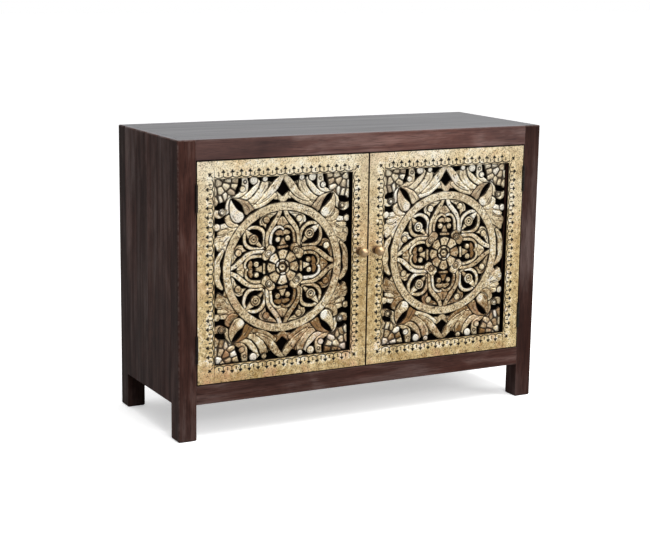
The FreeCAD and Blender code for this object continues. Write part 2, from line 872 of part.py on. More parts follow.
# What repeats eight times inside the ring, mirrored and turned by quarters
def ring_octant(side, quarter_turns, mirror):
    placed = ring_place(side, quarter_turns, mirror)
    shapes = []
    for start, middle, end, strap_width in (lobe_strap_shares, lobe_hoop_shares, eye_strap_shares):
        shapes.append(strap(placed, start, middle, end, strap_width, layer_drop(strap_level_share)))
    tip, end, outer_bulge, inner_bulge = ring_leaf_shares
    shapes.append(leaf(placed, tip, end, outer_bulge, inner_bulge, layer_drop(leaf_level_share)))
    for centre, radius in (ring_curl_shares, volute_shares):
        shapes.append(bead(placed, centre, radius, layer_drop(petal_level_share)))
    return shapes


# What repeats four times inside the ring, on the axes and on the diagonals
def ring_quarter(side, quarter_turns):
    placed = ring_place(side, quarter_turns, 1)
    shapes = []
    for tip, end, bulge, other_bulge in (bud_shares, stem_shares):
        shapes.append(leaf(placed, tip, end, bulge, other_bulge, layer_drop(leaf_level_share)))
    for start, end, bar_width in (collar_shares, block_shares, eye_bar_shares):
        shapes.append(bar(placed, start, end, bar_width, layer_drop(petal_level_share)))
    centre, radius = iris_shares
    shapes.append(bead(placed, centre, radius, layer_drop(strap_level_share)))
    return shapes


# What lies outside the ring in one quarter of the panel
def outer_quarter(side, mirror_u, mirror_v):
    placed = outer_place(side, mirror_u, mirror_v)
    shapes = []
    for tip, end, bulge, other_bulge in outer_leaf_shares:
        shapes.append(leaf(placed, tip, end, bulge, other_bulge, layer_drop(leaf_level_share)))
    for start, middle, end, strap_width in outer_strap_shares:
        shapes.append(strap(placed, start, middle, end, strap_width, layer_drop(petal_level_share)))
    for centre, radius in outer_bead_shares + pebble_shares:
        shapes.append(bead(placed, centre, radius, layer_drop(petal_level_share)))
    return shapes


def bracket(side, mirror_u):
    start, middle, end, strap_width = bracket_shares
    return strap(outer_place(side, mirror_u, 1), start, middle, end, strap_width,
                 layer_drop(petal_level_share))


def carved_panel(side):
    shapes = [ring(side)] + rosette(side)
    for quarter_turns in range(quarter_count):
        shapes += ring_quarter(side, quarter_turns)
        for mirror in (-1, 1):
            shapes += ring_octant(side, quarter_turns, mirror)
    for mirror_u in (-1, 1):
        shapes.append(bracket(side, mirror_u))
        for mirror_v in (-1, 1):
            shapes += outer_quarter(side, mirror_u, mirror_v)
    whole = shapes[0].multiFuse(shapes[1:])
    bounds = block(side * panel_centre_x - carving_half_width, side * panel_centre_x + carving_half_width,
                   carving_front, backing_front,
                   panel_centre_z - carving_half_height, panel_centre_z + carving_half_height)
    return whole.common(bounds).removeSplitter().Solids


# Write every node
floor_holes = [case_hole(point, down) for point in bottom_stop_screw_points()]
rail_holes = [case_hole(point, forward) for point in top_stop_screw_points()]
save("top_front_rail", [rail(front_rail_y, top_rail_z, rail_holes)])
save("bottom_front_rail", [rail(front_rail_y, bottom_rail_z, [])])
save("top_back_rail", [rail(back_rail_y, top_rail_z, [back_board_groove()])])
save("bottom_back_rail", [rail(back_rail_y, bottom_rail_z, [back_board_groove()])])
save("top_panel", long_boards(top_board_count, case_ceiling, cabinet_height, []))
save("floor_panel", long_boards(bottom_board_count, case_floor - board_thickness, case_floor, floor_holes))
save("back_panel", back_boards())
save("shelf", [shelf()])
save("top_door_stop", [top_stop()])
save("bottom_door_stop", [bottom_stop()])
save("catch_housing", [catch_housing()])
save("catch_magnets", [magnet_block(sign, 0) for sign in (-1, 1)])

case_screws = [case_screw(point, forward) for point in top_stop_screw_points()]
case_screws += [case_screw(point, down) for point in bottom_stop_screw_points()]
case_screws += [case_screw(point, up) for point in catch_screw_points()]
post_hinge_screws = []

for side, name in ((-1, "left"), (1, "right")):
    outward = FreeCAD.Vector(side, 0, 0)
    inward = FreeCAD.Vector(-side, 0, 0)
    save("front_" + name + "_post", [post(side, -1)])
    save("back_" + name + "_post", [post(side, 1)])
    boards = side_boards(side)
    cleat_holes = [case_hole(point, outward) for point in cleat_screw_points(side)]
    save(name + "_side_boards", [carved(board, cleat_holes) for board in boards])
    for rail_level in side_rail_spans:
        save(name + "_" + rail_level + "_side_rail", [side_rail(side, rail_level)])
    save(name + "_shelf_cleat", [shelf_cleat(side)])
    case_screws += [case_screw(point, outward) for point in cleat_screw_points(side)]

    door_screws = [small_screw(strike_point(side), forward)]
    for hinge_name, height in (("lower", hinge_heights[0]), ("upper", hinge_heights[1])):
        save(name + "_" + hinge_name + "_hinge_post_leaf", [hinge_leaf(side, height, side, fixed_knuckles)])
        save(name + "_" + hinge_name + "_hinge_door_leaf", [hinge_leaf(side, height, -side, moving_knuckles)])
        post_hinge_screws += [small_screw(point, outward) for point in hinge_screw_points(side, height, side)]
        door_screws += [small_screw(point, inward) for point in hinge_screw_points(side, height, -side)]
    save(name + "_hinge_pins", [hinge_pin(side, height) for height in hinge_heights])
    save(name + "_door_hinge_stile", [hinge_stile(side)])
    save(name + "_door_lock_stile", [lock_stile(side)])
    save(name + "_door_top_rail", [door_rail(side, "top")])
    save(name + "_door_bottom_rail", [door_rail(side, "bottom")])
    save(name + "_door_backing_board", [backing_block(side, 0, 0)])
    save(name + "_door_carved_panel", carved_panel(side))
    save(name + "_door_strike_plate", [strike_plate(side)])
    save(name + "_door_screws", door_screws)
    save(name + "_knob", [knob(side)])
    save(name + "_knob_rose", [knob_rose(side)])
    save(name + "_knob_screw", [knob_screw(side)])

save("post_hinge_screws", post_hinge_screws)
save("case_screws", case_screws)
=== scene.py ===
import random
from math import cos, pi, radians, sin, sqrt

import bpy
import numpy as np
from mathutils import Matrix, Vector


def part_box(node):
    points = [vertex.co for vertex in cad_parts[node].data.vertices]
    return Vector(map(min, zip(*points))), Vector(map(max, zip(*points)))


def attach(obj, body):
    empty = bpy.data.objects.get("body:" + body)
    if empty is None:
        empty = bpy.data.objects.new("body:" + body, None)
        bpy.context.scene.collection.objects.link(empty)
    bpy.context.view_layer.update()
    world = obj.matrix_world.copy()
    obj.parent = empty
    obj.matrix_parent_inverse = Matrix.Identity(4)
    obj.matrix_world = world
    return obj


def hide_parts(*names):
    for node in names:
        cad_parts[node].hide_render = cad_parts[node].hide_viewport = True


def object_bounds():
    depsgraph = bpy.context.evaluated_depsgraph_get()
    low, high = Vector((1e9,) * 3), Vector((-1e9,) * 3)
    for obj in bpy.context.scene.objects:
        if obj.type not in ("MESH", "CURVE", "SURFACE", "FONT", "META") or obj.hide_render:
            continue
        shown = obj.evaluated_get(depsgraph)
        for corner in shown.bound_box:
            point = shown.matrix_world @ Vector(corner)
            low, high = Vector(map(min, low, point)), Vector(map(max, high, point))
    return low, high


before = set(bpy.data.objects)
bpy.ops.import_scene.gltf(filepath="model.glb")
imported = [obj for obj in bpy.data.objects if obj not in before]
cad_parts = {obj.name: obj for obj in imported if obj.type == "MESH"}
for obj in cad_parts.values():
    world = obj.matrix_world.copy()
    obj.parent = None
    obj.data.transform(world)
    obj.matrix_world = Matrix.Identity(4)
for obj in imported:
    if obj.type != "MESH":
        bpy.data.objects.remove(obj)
cadLow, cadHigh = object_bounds()
mm = 0.001
doorSides = ("left", "right")
print("stage: frame loaded with", len(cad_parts), "nodes")


# Small helpers for picking parts of pieces and for reading and keeping their values

def change(mode):
    bpy.ops.object.mode_set(mode=mode)


def select(action, kind):
    bpy.ops.mesh.select_mode(type=kind)
    bpy.ops.mesh.select_all(action=action)


def choose(piece, kind, wanted):
    change("EDIT")
    select("DESELECT", kind)
    change("OBJECT")
    parts = {"EDGE": piece.data.edges, "FACE": piece.data.polygons}[kind]
    parts.foreach_set("select", np.asarray(wanted, bool))
    change("EDIT")


def newObject(name, data):
    made = bpy.data.objects.new(name, data)
    bpy.context.scene.collection.objects.link(made)
    return made


def added(name, add, **settings):
    bpy.ops.object.select_all(action="DESELECT")
    add(**settings)
    piece = bpy.context.object
    piece.name = piece.data.name = name
    return piece


def read(parts, key, width=1, kind=float):
    values = np.zeros(len(parts) * width, kind)
    parts.foreach_get(key, values)
    return values.reshape(-1, width) if width > 1 else values


def store(mesh, name, values, domain="FACE"):
    kept = mesh.attributes.get(name) or mesh.attributes.new(name, "FLOAT", domain)
    kept.data.foreach_set("value", np.asarray(values, np.float32))


def faceMiddles(mesh):
    return read(mesh.polygons, "center", 3), read(mesh.polygons, "normal", 3)


def middleOf(nodeName):
    low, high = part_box(nodeName)
    return (low.x + high.x) / 2, (low.z + high.z) / 2


def doorFace(side):
    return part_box(side + "_door_top_rail")[0].y


def dress(piece, *materials):
    piece.data.materials.clear()
    for material in materials:
        piece.data.materials.append(material)


def hand(piece, body, slot, *nodes):
    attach(piece, body)
    if nodes:
        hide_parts(*nodes)


# Wiring of materials: a wire is another node's output or a plain value, and a colour has three numbers.
# The bench holds the node tree that is being wired
bench = {}


def plug(made, wires):
    for key, value in wires.items():
        socket = made.inputs[key]
        if isinstance(value, bpy.types.NodeSocket):
            bench["tree"].links.new(value, socket)
        elif socket.type == "RGBA":
            socket.default_value = (*value, 1)
        else:
            socket.default_value = value
    return made


def node(kind, wires=None, **settings):
    made = bench["tree"].nodes.new("ShaderNode" + kind)
    for key, value in settings.items():
        setattr(made, key, value)
    return plug(made, wires or {})


# A scale of three numbers is turned a little too, so that no flat face lies along the noise's own grid
def noise(vector, scale, detail, roughness, distortion=0.0, offset=(0, 0, 0)):
    if isinstance(scale, tuple):
        wires = {"Vector": vector, "Scale": scale, "Location": offset, "Rotation": (0.4, 0.5, 0.3)}
        vector, scale = node("Mapping", wires).outputs["Vector"], 1.0
    return node("TexNoise", {"Vector": vector, "Scale": scale, "Detail": detail, "Roughness": roughness,
                             "Distortion": distortion}).outputs["Fac"]


def span(value, low, high, newLow=0.0, newHigh=1.0):
    wires = {"Value": value, "From Min": low, "From Max": high, "To Min": newLow, "To Max": newHigh}
    return node("MapRange", wires, clamp=True).outputs["Result"]


def joined(operation, total, *values):
    for value in values:
        total = node("Math", {0: total, 1: value}, operation=operation).outputs[0]
    return total


def plus(*values):
    return joined("ADD", *values)


def times(*values):
    return joined("MULTIPLY", *values)


def mixed(factor, first, second, blend="MIX"):
    return node("Mix", {0: factor, 6: first, 7: second}, data_type="RGBA", blend_type=blend).outputs[2]


def bumped(strength, distance, height):
    return node("Bump", {"Strength": strength, "Distance": distance, "Height": height}).outputs["Normal"]


def attribute(name):
    return node("Attribute", attribute_name=name, attribute_type="GEOMETRY").outputs["Fac"]


# Every group is given a place and gives back a colour; its other inputs are colours and numbers
def nodeGroup(name, colours, numbers, results):
    tree = bench["tree"] = bpy.data.node_groups.new(name, "ShaderNodeTree")
    sockets = [("Place", "INPUT", "Vector"), ("Colour", "OUTPUT", "Color")]
    sockets += [(label, "INPUT", "Color") for label in colours]
    sockets += [(label, "INPUT", "Float") for label in numbers]
    sockets += [(label, "OUTPUT", "Float") for label in results]
    for label, way, kind in sockets:
        tree.interface.new_socket(label, in_out=way, socket_type="NodeSocket" + kind)
    return tree, tree.nodes.new("NodeGroupInput").outputs, tree.nodes.new("NodeGroupOutput")


def newMaterial(name, **fixed):
    material = bpy.data.materials.new(name)
    material.use_nodes = True
    bench["tree"] = material.node_tree
    shader = material.node_tree.nodes["Principled BSDF"]
    plug(shader, {key.replace("_", " "): value for key, value in fixed.items()})
    return material, shader, node("TexCoord").outputs["Object"]


# Wood: long streaks, fine pores and a tone for each board

def makeGrain():
    tree, given, out = nodeGroup("woodGrain", ("Dark", "Mid", "Light"), ("Board", "Edge", "Rough"),
                                 ("Rough", "Height"))
    board = given["Board"]
    shift = node("CombineXYZ", {"X": times(board, 3.7), "Y": times(board, 5.3)}).outputs[0]
    place = node("VectorMath", {0: given["Place"], 1: shift}, operation="ADD").outputs[0]
    streaks = noise(place, (30, 30, 1.8), 6, 0.6, 1.4)
    bands = noise(place, (8, 8, 1.1), 3, 0.5, 1.8)
    blotch = noise(place, (7, 7, 3.5), 4, 0.6, 0.5, (2.3, 4.1, 1.7))
    warm = noise(place, (6, 6, 2.4), 3, 0.5, 0.4, (5.1, 0.7, 3.3))
    pores = noise(place, (620, 620, 26), 2, 0.6)
    specks = noise(place, 140, 3, 0.7)
    blend = plus(times(streaks, 0.3), times(bands, 0.26), times(blotch, 0.44))
    colour = mixed(span(blend, 0.38, 0.5), given["Dark"], given["Mid"])
    colour = mixed(span(blend, 0.5, 0.62), colour, given["Light"])
    colour = mixed(span(pores, 0.36, 0.5, 0.55, 0.0), colour, (0.006, 0.003, 0.003))
    colour = mixed(span(warm, 0.48, 0.62, 0.0, 0.6), colour, (1.3, 1.04, 0.94), "MULTIPLY")
    colour = mixed(1.0, colour, span(board, 0, 1, 0.5, 2.3), "MULTIPLY")
    # Boards of the highest tones are mixed towards grey: a painted sheen
    colour = mixed(span(board, 0.6, 1.0, 0.0, 0.2), colour, (0.11, 0.092, 0.095))
    # Eased edges lightened with specks: rubbed wear together with a painted highlight along the edges
    rubbedAndLitEdge = times(given["Edge"], span(specks, 0.42, 0.62, 0.1, 0.8))
    plug(out, {
        "Colour": mixed(rubbedAndLitEdge, colour, given["Light"]),
        "Rough": plus(given["Rough"], span(streaks, 0.35, 0.65, 0.07, -0.06)),
        "Height": plus(times(streaks, 0.6), span(pores, 0.34, 0.5, -0.5, 0.0))})
    return tree


grainGroup = makeGrain()
grainTurns = {"x": (0, pi / 2, 0), "y": (pi / 2, 0, 0), "z": (0, 0, 0)}


def woodFinish(name, along, dark, mid, light, rough, relief, **fixed):
    material, shader, place = newMaterial(name + along.upper(), **fixed)
    turned = node("Mapping", {"Vector": place, "Rotation": grainTurns[along]}).outputs["Vector"]
    wires = {"Place": turned, "Board": attribute("board"), "Edge": attribute("edge"),
             "Dark": dark, "Mid": mid, "Light": light, "Rough": rough}
    grain = node("Group", wires, node_tree=grainGroup).outputs
    plug(shader, {"Base Color": grain["Colour"], "Roughness": grain["Rough"],
                  "Normal": bumped(relief, 0.0006, grain["Height"])})
    return material


def woodFinishes(name, *looks, **fixed):
    return {along: woodFinish(name, along, *looks, **fixed) for along in grainTurns}


darkWood = woodFinishes(
    "darkStainedWood", (0.013, 0.0047, 0.0036), (0.038, 0.017, 0.0135), (0.098, 0.065, 0.059), 0.5, 0.25,
    Specular_IOR_Level=0.1, Specular_Tint=(1.0, 0.76, 0.72))
# The top's base colours lean blue-grey: a painted reflection of the pale surroundings on the dark stained
# wood
polishedWoodBlueSheen = woodFinishes(
    "polishedTopBlueSheen", (0.0098, 0.0085, 0.0125), (0.0142, 0.0125, 0.0185), (0.022, 0.0195, 0.0275), 0.45, 0.05,
    Specular_IOR_Level=0.27, Specular_Tint=(0.88, 0.94, 1.0), Coat_Weight=0.45, Coat_Roughness=0.28)
innerWood = woodFinishes(
    "innerWood", (0.03, 0.017, 0.013), (0.06, 0.036, 0.027), (0.11, 0.07, 0.052), 0.6, 0.25,
    Specular_IOR_Level=0.25)


# Gold leaf over wood: patches of tone, small dark pits, painted glints, a paler painted sheen towards the
# top, and brown patina with painted shade where the piece says so

def makeLeaf():
    tree, given, out = nodeGroup("goldLeaf", ("Light", "Deep", "Pink"), (
        "PatinaAndShade", "Tone", "Pits", "Shine", "Mottle", "Vary"), ("Rough", "Metal", "Height"))
    place, patinaAndShade = given["Place"], given["PatinaAndShade"]
    broad = noise(place, 9, 4, 0.6, 0.6)
    cloud = noise(place, given["Mottle"], 6, 0.65, 0.5)
    blush = noise(place, (12, 12, 12), 4, 0.6, 0.8, (37.2, 20.4, 63.6))
    sparse = noise(place, (70, 70, 70), 3, 0.6, 0.0, (539, 203, 28))
    grit = noise(place, 310, 3, 0.75)
    # Fine flecks lift the tone in specks: painted glints
    paintedGlints = noise(place, 380, 2, 0.6)
    cells = node("TexVoronoi", {"Vector": place, "Scale": 210.0}).outputs["Distance"]
    level = node("SeparateXYZ", {0: place}).outputs["Z"]
    tone = plus(times(plus(cloud, -0.5), given["Vary"]), times(plus(paintedGlints, -0.5), 0.7),
                times(plus(broad, -0.5), 0.5), given["Tone"])
    colour = mixed(span(tone, 0.26, 0.72), given["Deep"], given["Light"])
    # The highest tones turn near-white: painted highlights
    colour = mixed(span(tone, 0.66, 0.82, 0.0, 0.85), colour, (1.0, 0.97, 0.88))
    # Paler towards the top, by object height: a painted sheen of light from above
    paintedTopSheen = times(span(level, 0.45, 0.7, 0.0, 0.6), span(broad, 0.35, 0.6, 0.3, 1.0))
    colour = mixed(paintedTopSheen, colour, (0.84, 0.79, 0.64))
    warm = times(span(level, 0.5, 0.14, 0.35, 1.0), span(blush, 0.5, 0.68, 0.0, 0.6))
    colour = mixed(warm, colour, given["Pink"])
    pit = times(span(cells, 0.36, 0.2), span(sparse, 0.42, 0.54), given["Pits"])
    grime = times(span(grit, 0.39, 0.46, 0.95, 0.0), span(cloud, 0.4, 0.62, 1.0, 0.6))
    stain = joined("MAXIMUM", patinaAndShade, pit, grime)
    colour = mixed(stain, colour, (0.022, 0.011, 0.005))
    plug(out, {
        # Where patina and painted shade are full, the leaf turns near-black
        "Colour": mixed(span(patinaAndShade, 0.9, 1.0), colour, (0.002, 0.001, 0.0006)),
        "Rough": plus(span(cloud, 0.3, 0.7, 0.46, 0.3), times(stain, 0.35)),
        "Metal": times(span(stain, 0.0, 0.8, 1.0, 0.0), given["Shine"]),
        "Height": plus(cloud, times(pit, -0.8), times(grit, 0.15))})
    return tree


leafGroup = makeLeaf()


def goldFinish(name, patinaAndShade, tone, relief, **looks):
    material, shader, place = newMaterial(name, Specular_IOR_Level=0.2)
    wires = {"Place": place, "PatinaAndShade": attribute(patinaAndShade), "Tone": attribute(tone), **looks}
    leaf = node("Group", wires, node_tree=leafGroup).outputs
    plug(shader, {"Base Color": leaf["Colour"], "Roughness": leaf["Rough"], "Metallic": leaf["Metal"],
                  "Normal": bumped(0.5, relief, leaf["Height"])})
    return material


frameGold = goldFinish(
    "goldFrameLeaf", "edge", "board", 0.0004, Light=(0.86, 0.69, 0.38), Deep=(0.38, 0.24, 0.085),
    Pink=(0.7, 0.38, 0.22), Pits=1.0, Shine=0.55, Mottle=75.0, Vary=1.15)
carvedGold = goldFinish(
    "goldCarvingLeaf", "patinaAndShade", "tone", 0.0014, Light=(1.0, 0.84, 0.53), Deep=(0.25, 0.135, 0.047),
    Pink=(0.6, 0.33, 0.19), Pits=0.4, Shine=0.8, Mottle=125.0, Vary=1.4)


def plainFinish(name, colour, second, scale, rough, metal, relief):
    material, shader, place = newMaterial(name, Metallic=metal)
    cloud = noise(place, scale, 5, 0.6, 0.4)
    plug(shader, {"Base Color": mixed(span(cloud, 0.35, 0.65), colour, second),
                  "Roughness": span(cloud, 0.3, 0.7, rough - 0.08, rough + 0.1),
                  "Normal": bumped(0.4, relief, noise(place, scale * 3, 3, 0.6))})
    return material


backingTurn = (-0.163, -0.1615)


# The board behind the carving is black in front, darker there than its back as painted shade; its back, seen
# with the doors open, is only stained dark
def backingFinish():
    material, shader, place = newMaterial("blackBacking", Specular_IOR_Level=0.02, Roughness=0.85)
    cloud = span(noise(place, (60, 60, 5), 5, 0.6, 0.4), 0.35, 0.65)
    behind = span(node("SeparateXYZ", {0: place}).outputs["Y"], *backingTurn)
    # Near-black front: black paint darkened further as painted shade
    front = mixed(cloud, (0.0008, 0.0004, 0.0003), (0.002, 0.001, 0.0008))
    back = mixed(cloud, (0.011, 0.007, 0.006), (0.024, 0.016, 0.014))
    plug(shader, {"Base Color": mixed(behind, front, back)})
    return material


# Brass goes brown towards the rose, where hands don't rub it
def brassFinish():
    material, shader, place = newMaterial("agedBrass", Metallic=1.0)
    cloud = noise(place, 160, 5, 0.6, 0.4)
    clean = mixed(span(cloud, 0.35, 0.65), (0.56, 0.41, 0.25), (0.43, 0.3, 0.17))
    brown = times(attribute("tarnish"), span(cloud, 0.3, 0.7, 1.0, 0.75))
    plug(shader, {"Base Color": mixed(brown, clean, (0.075, 0.038, 0.02)),
                  "Roughness": span(cloud, 0.3, 0.7, 0.42, 0.54),
                  "Normal": bumped(0.3, 0.0002, cloud)})
    return material


blackBoard = backingFinish()
agedBrass = brassFinish()
blackIron = plainFinish("blackenedIron", (0.012, 0.01, 0.01), (0.03, 0.024, 0.02), 180, 0.45, 0.8, 0.0002)
dullSteel = plainFinish("dullSteel", (0.34, 0.32, 0.3), (0.22, 0.2, 0.18), 200, 0.38, 1.0, 0.0001)
magnetSteel = plainFinish("magnetSteel", (0.2, 0.2, 0.21), (0.13, 0.13, 0.14), 150, 0.35, 1.0, 0.0001)
catchPlastic = plainFinish("catchPlastic", (0.02, 0.014, 0.011), (0.026, 0.019, 0.015), 300, 0.5, 0.0, 0.0001)
print("stage: materials ready")


# Wooden pieces: a copy of each CAD piece, its boards merged one by one, its long outer edges eased

woodEdges = {"outer": 3.0, "ease": 1.0, "seam": 0.5, "topSeam": 0.15, "segments": 2, "shortest": 60,
             "shortOuter": 30, "square": 0.9999, "onPlane": 0.01, "merge": 0.02, "flat": 1, "inward": 0.2,
             "topSkin": 0.3}
caseLow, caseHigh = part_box("front_left_post")[0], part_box("back_right_post")[1]
casePlanes = [(caseLow.x, caseHigh.x), (caseLow.y, caseHigh.y), (caseHigh.z,)]


# Bevels the long edges where two of the given planes meet, and tells which faces that made
def easeEdges(piece, planes, shortest, amount):
    mesh = piece.data
    ends = read(mesh.vertices, "co", 3)[read(mesh.edges, "vertices", 2, int)]
    met = np.zeros(len(ends), int)
    for side in range(3):
        met += np.any([np.abs(ends[:, :, side] - plane).max(axis=1) < woodEdges["onPlane"] * mm
                       for plane in planes[side]], axis=0)
    chosen = (met >= 2) & (np.linalg.norm(ends[:, 1] - ends[:, 0], axis=1) > shortest * mm)
    choose(piece, "EDGE", chosen)
    if chosen.any():
        bpy.ops.mesh.bevel(offset=amount * mm, segments=woodEdges["segments"], affect="EDGES")
    change("OBJECT")
    square = np.abs(faceMiddles(mesh)[1]).max(axis=1) > woodEdges["square"]
    return read(mesh.polygons, "select", kind=bool) & ~square  # one between four eased edges is selected too


def easedCopy(nodeName, pieceName, ease, tones, axis=0, edgeShade=1.0, hull=casePlanes,
              outer=woodEdges["outer"]):
    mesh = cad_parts[nodeName].data.copy()
    mesh.name = pieceName
    piece = newObject(pieceName, mesh)
    bpy.ops.object.select_all(action="DESELECT")
    piece.select_set(True)
    bpy.context.view_layer.objects.active = piece
    bpy.ops.mesh.customdata_custom_splitnormals_clear()
    boards = len(tones)
    low, high = (np.array(corner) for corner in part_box(nodeName))
    step = (high[axis] - low[axis]) / boards

    def boardOf():
        middle, normal = faceMiddles(mesh)
        inward = middle[:, axis] - normal[:, axis] * step * woodEdges["inward"]
        return np.clip(np.floor((inward - low[axis]) / step), 0, boards - 1).astype(int)

    index = boardOf()
    for board in range(boards):
        choose(piece, "FACE", index == board)
        bpy.ops.mesh.remove_doubles(threshold=woodEdges["merge"] * mm)
    select("SELECT", "FACE")
    bpy.ops.mesh.dissolve_limited(angle_limit=radians(woodEdges["flat"]))
    change("OBJECT")
    store(mesh, "edge", easeEdges(piece, hull, woodEdges["shortOuter"], outer))
    planes = [[low[side], high[side]] for side in range(3)]
    planes[axis] = [low[axis] + step * count for count in range(boards + 1)]
    eased = easeEdges(piece, planes, woodEdges["shortest"], ease)
    rounded = read(mesh.attributes["edge"].data, "value") > 0.5
    mesh.polygons.foreach_set("use_smooth", eased | rounded)
    store(mesh, "edge", np.where(rounded, 1, eased * edgeShade))
    store(mesh, "board", np.array(tones)[boardOf()])
    return piece


# Grain direction, the tone of each board and, where there are several, the axis across them
# The back posts' low tones are partly painted shade; the top front rail's high tone is partly a painted sheen
caseWood = {
    "front_left_post": ("z", [0.27]), "front_right_post": ("z", [0.24]),
    "back_left_post": ("z", [0.16]), "back_right_post": ("z", [0.0]),
    "top_front_rail": ("x", [0.88]), "bottom_front_rail": ("x", [0.44]),
    "top_back_rail": ("x", [0.6]), "bottom_back_rail": ("x", [0.4]),
    "left_side_boards": ("z", [0.42, 0.55, 0.36, 0.48], 1),
    "right_side_boards": ("z", [0.46, 0.36, 0.55, 0.42], 1),
    "top_panel": ("x", [0.2, 0.28, 0.18, 0.24], 1),
}
innerPieces = {
    "floor_panel": ("x", [0.5, 0.7, 0.35, 0.6], 1),
    "back_panel": ("z", [0.4, 0.65, 0.5, 0.3, 0.6, 0.45, 0.7, 0.35], 0),
    "shelf": ("x", [0.6]), "top_door_stop": ("x", [0.4]), "bottom_door_stop": ("x", [0.5]),
    "left_upper_side_rail": ("y", [0.3]), "left_lower_side_rail": ("y", [0.45]),
    "right_upper_side_rail": ("y", [0.35]), "right_lower_side_rail": ("y", [0.4]),
    "left_shelf_cleat": ("y", [0.5]), "right_shelf_cleat": ("y", [0.45]),
}
for slot, finish, pieces in (("dark_wood", darkWood, caseWood), ("inner_wood", innerWood, innerPieces)):
    for nodeName, (along, tones, *across) in pieces.items():
        ease = woodEdges["seam" if across else "ease"]
        ease = woodEdges["topSeam"] if nodeName == "top_panel" else ease
        eased = easedCopy(nodeName, "eased_" + nodeName, ease, tones, *across)
        dress(eased, finish[along], polishedWoodBlueSheen[along])
        top = faceMiddles(eased.data)[0][:, 2] > cadHigh.z - woodEdges["topSkin"] * mm
        eased.data.polygons.foreach_set("material_index", top.astype(int))
        hand(eased, "cabinet", slot, nodeName)
print("stage: case pieces eased")


# Door frames: gold on the face and edges, dark wood at the back, black round the opening behind the carving

# The frames' outer edges turn near-black: worn dark edges with a painted shadow along the gaps round the
# doors
frameBack = {"goldDepth": 1.6, "outer": 1.3, "ease": 0.9, "edgeShade": 0.75,
             "tones": {"hinge_stile": 0.5, "lock_stile": 0.46, "top_rail": 0.62, "bottom_rail": 0.42}}
for side in doorSides:
    corners = np.vstack([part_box(f"{side}_door_{member}") for member in frameBack["tones"]])
    doorPlanes = list(zip(corners.min(axis=0), corners.max(axis=0)))
    doorMiddle = (corners.min(axis=0) + corners.max(axis=0)) / 2
    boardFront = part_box(side + "_door_backing_board")[0].y
    for member, tone in frameBack["tones"].items():
        nodeName = f"{side}_door_{member}"
        gilded = easedCopy(nodeName, "gilded_" + nodeName, frameBack["ease"], [tone],
                           edgeShade=frameBack["edgeShade"], hull=doorPlanes, outer=frameBack["outer"])
        dress(gilded, frameGold, darkWood["z" if "stile" in member else "x"], blackBoard)
        middle, normal = faceMiddles(gilded.data)
        behind = middle[:, 1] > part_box(nodeName)[0].y + frameBack["goldDepth"] * mm
        inward = (normal * (doorMiddle - middle))[:, (0, 2)].sum(axis=1) > 0
        # Inner walls of the opening take the black board, whose near-black front is partly painted shade
        black = behind & inward & (middle[:, 1] < boardFront)
        gilded.data.polygons.foreach_set("material_index", behind + black.astype(int))
        hand(gilded, side + "_door", "gold_frame", nodeName)
print("stage: door frames gilded")


# Carving: a board of fine squares, each stroke of the design raised on it in turn

carving = {
    "pitch": 1.1, "seed": 11, "wander": 0.7, "full": 9.5, "floor": 1.5, "ground": 3.8, "groundReach": 46,
    "grooveWidth": 2.3, "grooveDepth": 4.2, "flat": 0.6, "sink": 0.65, "lean": 0.05, "leanMost": 0.7,
    "leafLine": 0.8, "toneSpread": 0.1, "paintedLightRise": 0.0005, "toneLift": 0.04, "stoneSpread": 0.22,
    "stoneEdge": 0.6, "stoneRound": 5.0, "stoneLine": 0.62,
    "ring": 165.0, "ringInner": 144.0, "ringShape": (9.5, 3.0, 1.8), "ringTone": 0.53, "ringLine": 1.5,
    "ringDots": 320, "dotsFrom": 147.5, "dotsTo": 161.5, "dotLeast": 0.9, "dotMost": 1.5, "dotDepth": 0.6,
}
handWaves = (9, 17)  # lengths in mm of the cutter's short and long wandering
cutLine = {"share": 0.35, "vein": 0.7, "circle": 0.1, "dot": 0.2, "dotFlat": 0.4, "prick": 1.1}
margins = {"raised": 3, "cut": 2}


def smoothRun(points, steps=5):
    pts = np.array(points, float)
    pts = np.vstack([2 * pts[0] - pts[1], pts, 2 * pts[-1] - pts[-2]])
    out = []
    for a, b, c, d in zip(pts[:-3], pts[1:-2], pts[2:-1], pts[3:]):
        for k in range(steps):
            t = k / steps
            out.append(0.5 * (2 * b + (c - a) * t + (2 * a - 5 * b + 4 * c - d) * t ** 2
                              + (3 * b - a - 3 * c + d) * t ** 3))
    return np.array(out + [pts[-2]])


# Each run of an outline starts where the one before it ends
def chained(runs):
    return [before[-1:] + run for before, run in zip([[]] + runs, runs)]


def segmentDistance(grid, a, b):
    run = b - a
    length = max(float(run @ run), 1e-9)
    share = np.clip(((grid[0] - a[0]) * run[0] + (grid[1] - a[1]) * run[1]) / length, 0, 1)
    return np.hypot(grid[0] - a[0] - share * run[0], grid[1] - a[1] - share * run[1]), share


def strapDistance(grid, run, halves):
    best = np.full(grid[0].shape, -1e9)
    for a, b, halfA, halfB in zip(run[:-1], run[1:], halves[:-1], halves[1:]):
        away, share = segmentDistance(grid, a, b)
        best = np.maximum(best, halfA + (halfB - halfA) * share - away)
    return best


def insideDistance(grid, outline):
    away = np.full(grid[0].shape, 1e9)
    inside = np.zeros(grid[0].shape, bool)
    for a, b in zip(outline, np.roll(outline, -1, axis=0)):
        away = np.minimum(away, segmentDistance(grid, a, b)[0])
        if abs(b[1] - a[1]) > 1e-9:
            crosses = (a[1] > grid[1]) != (b[1] > grid[1])
            inside ^= crosses & (grid[0] < (b[0] - a[0]) * (grid[1] - a[1]) / (b[1] - a[1]) + a[0])
    return np.where(inside, away, -away)


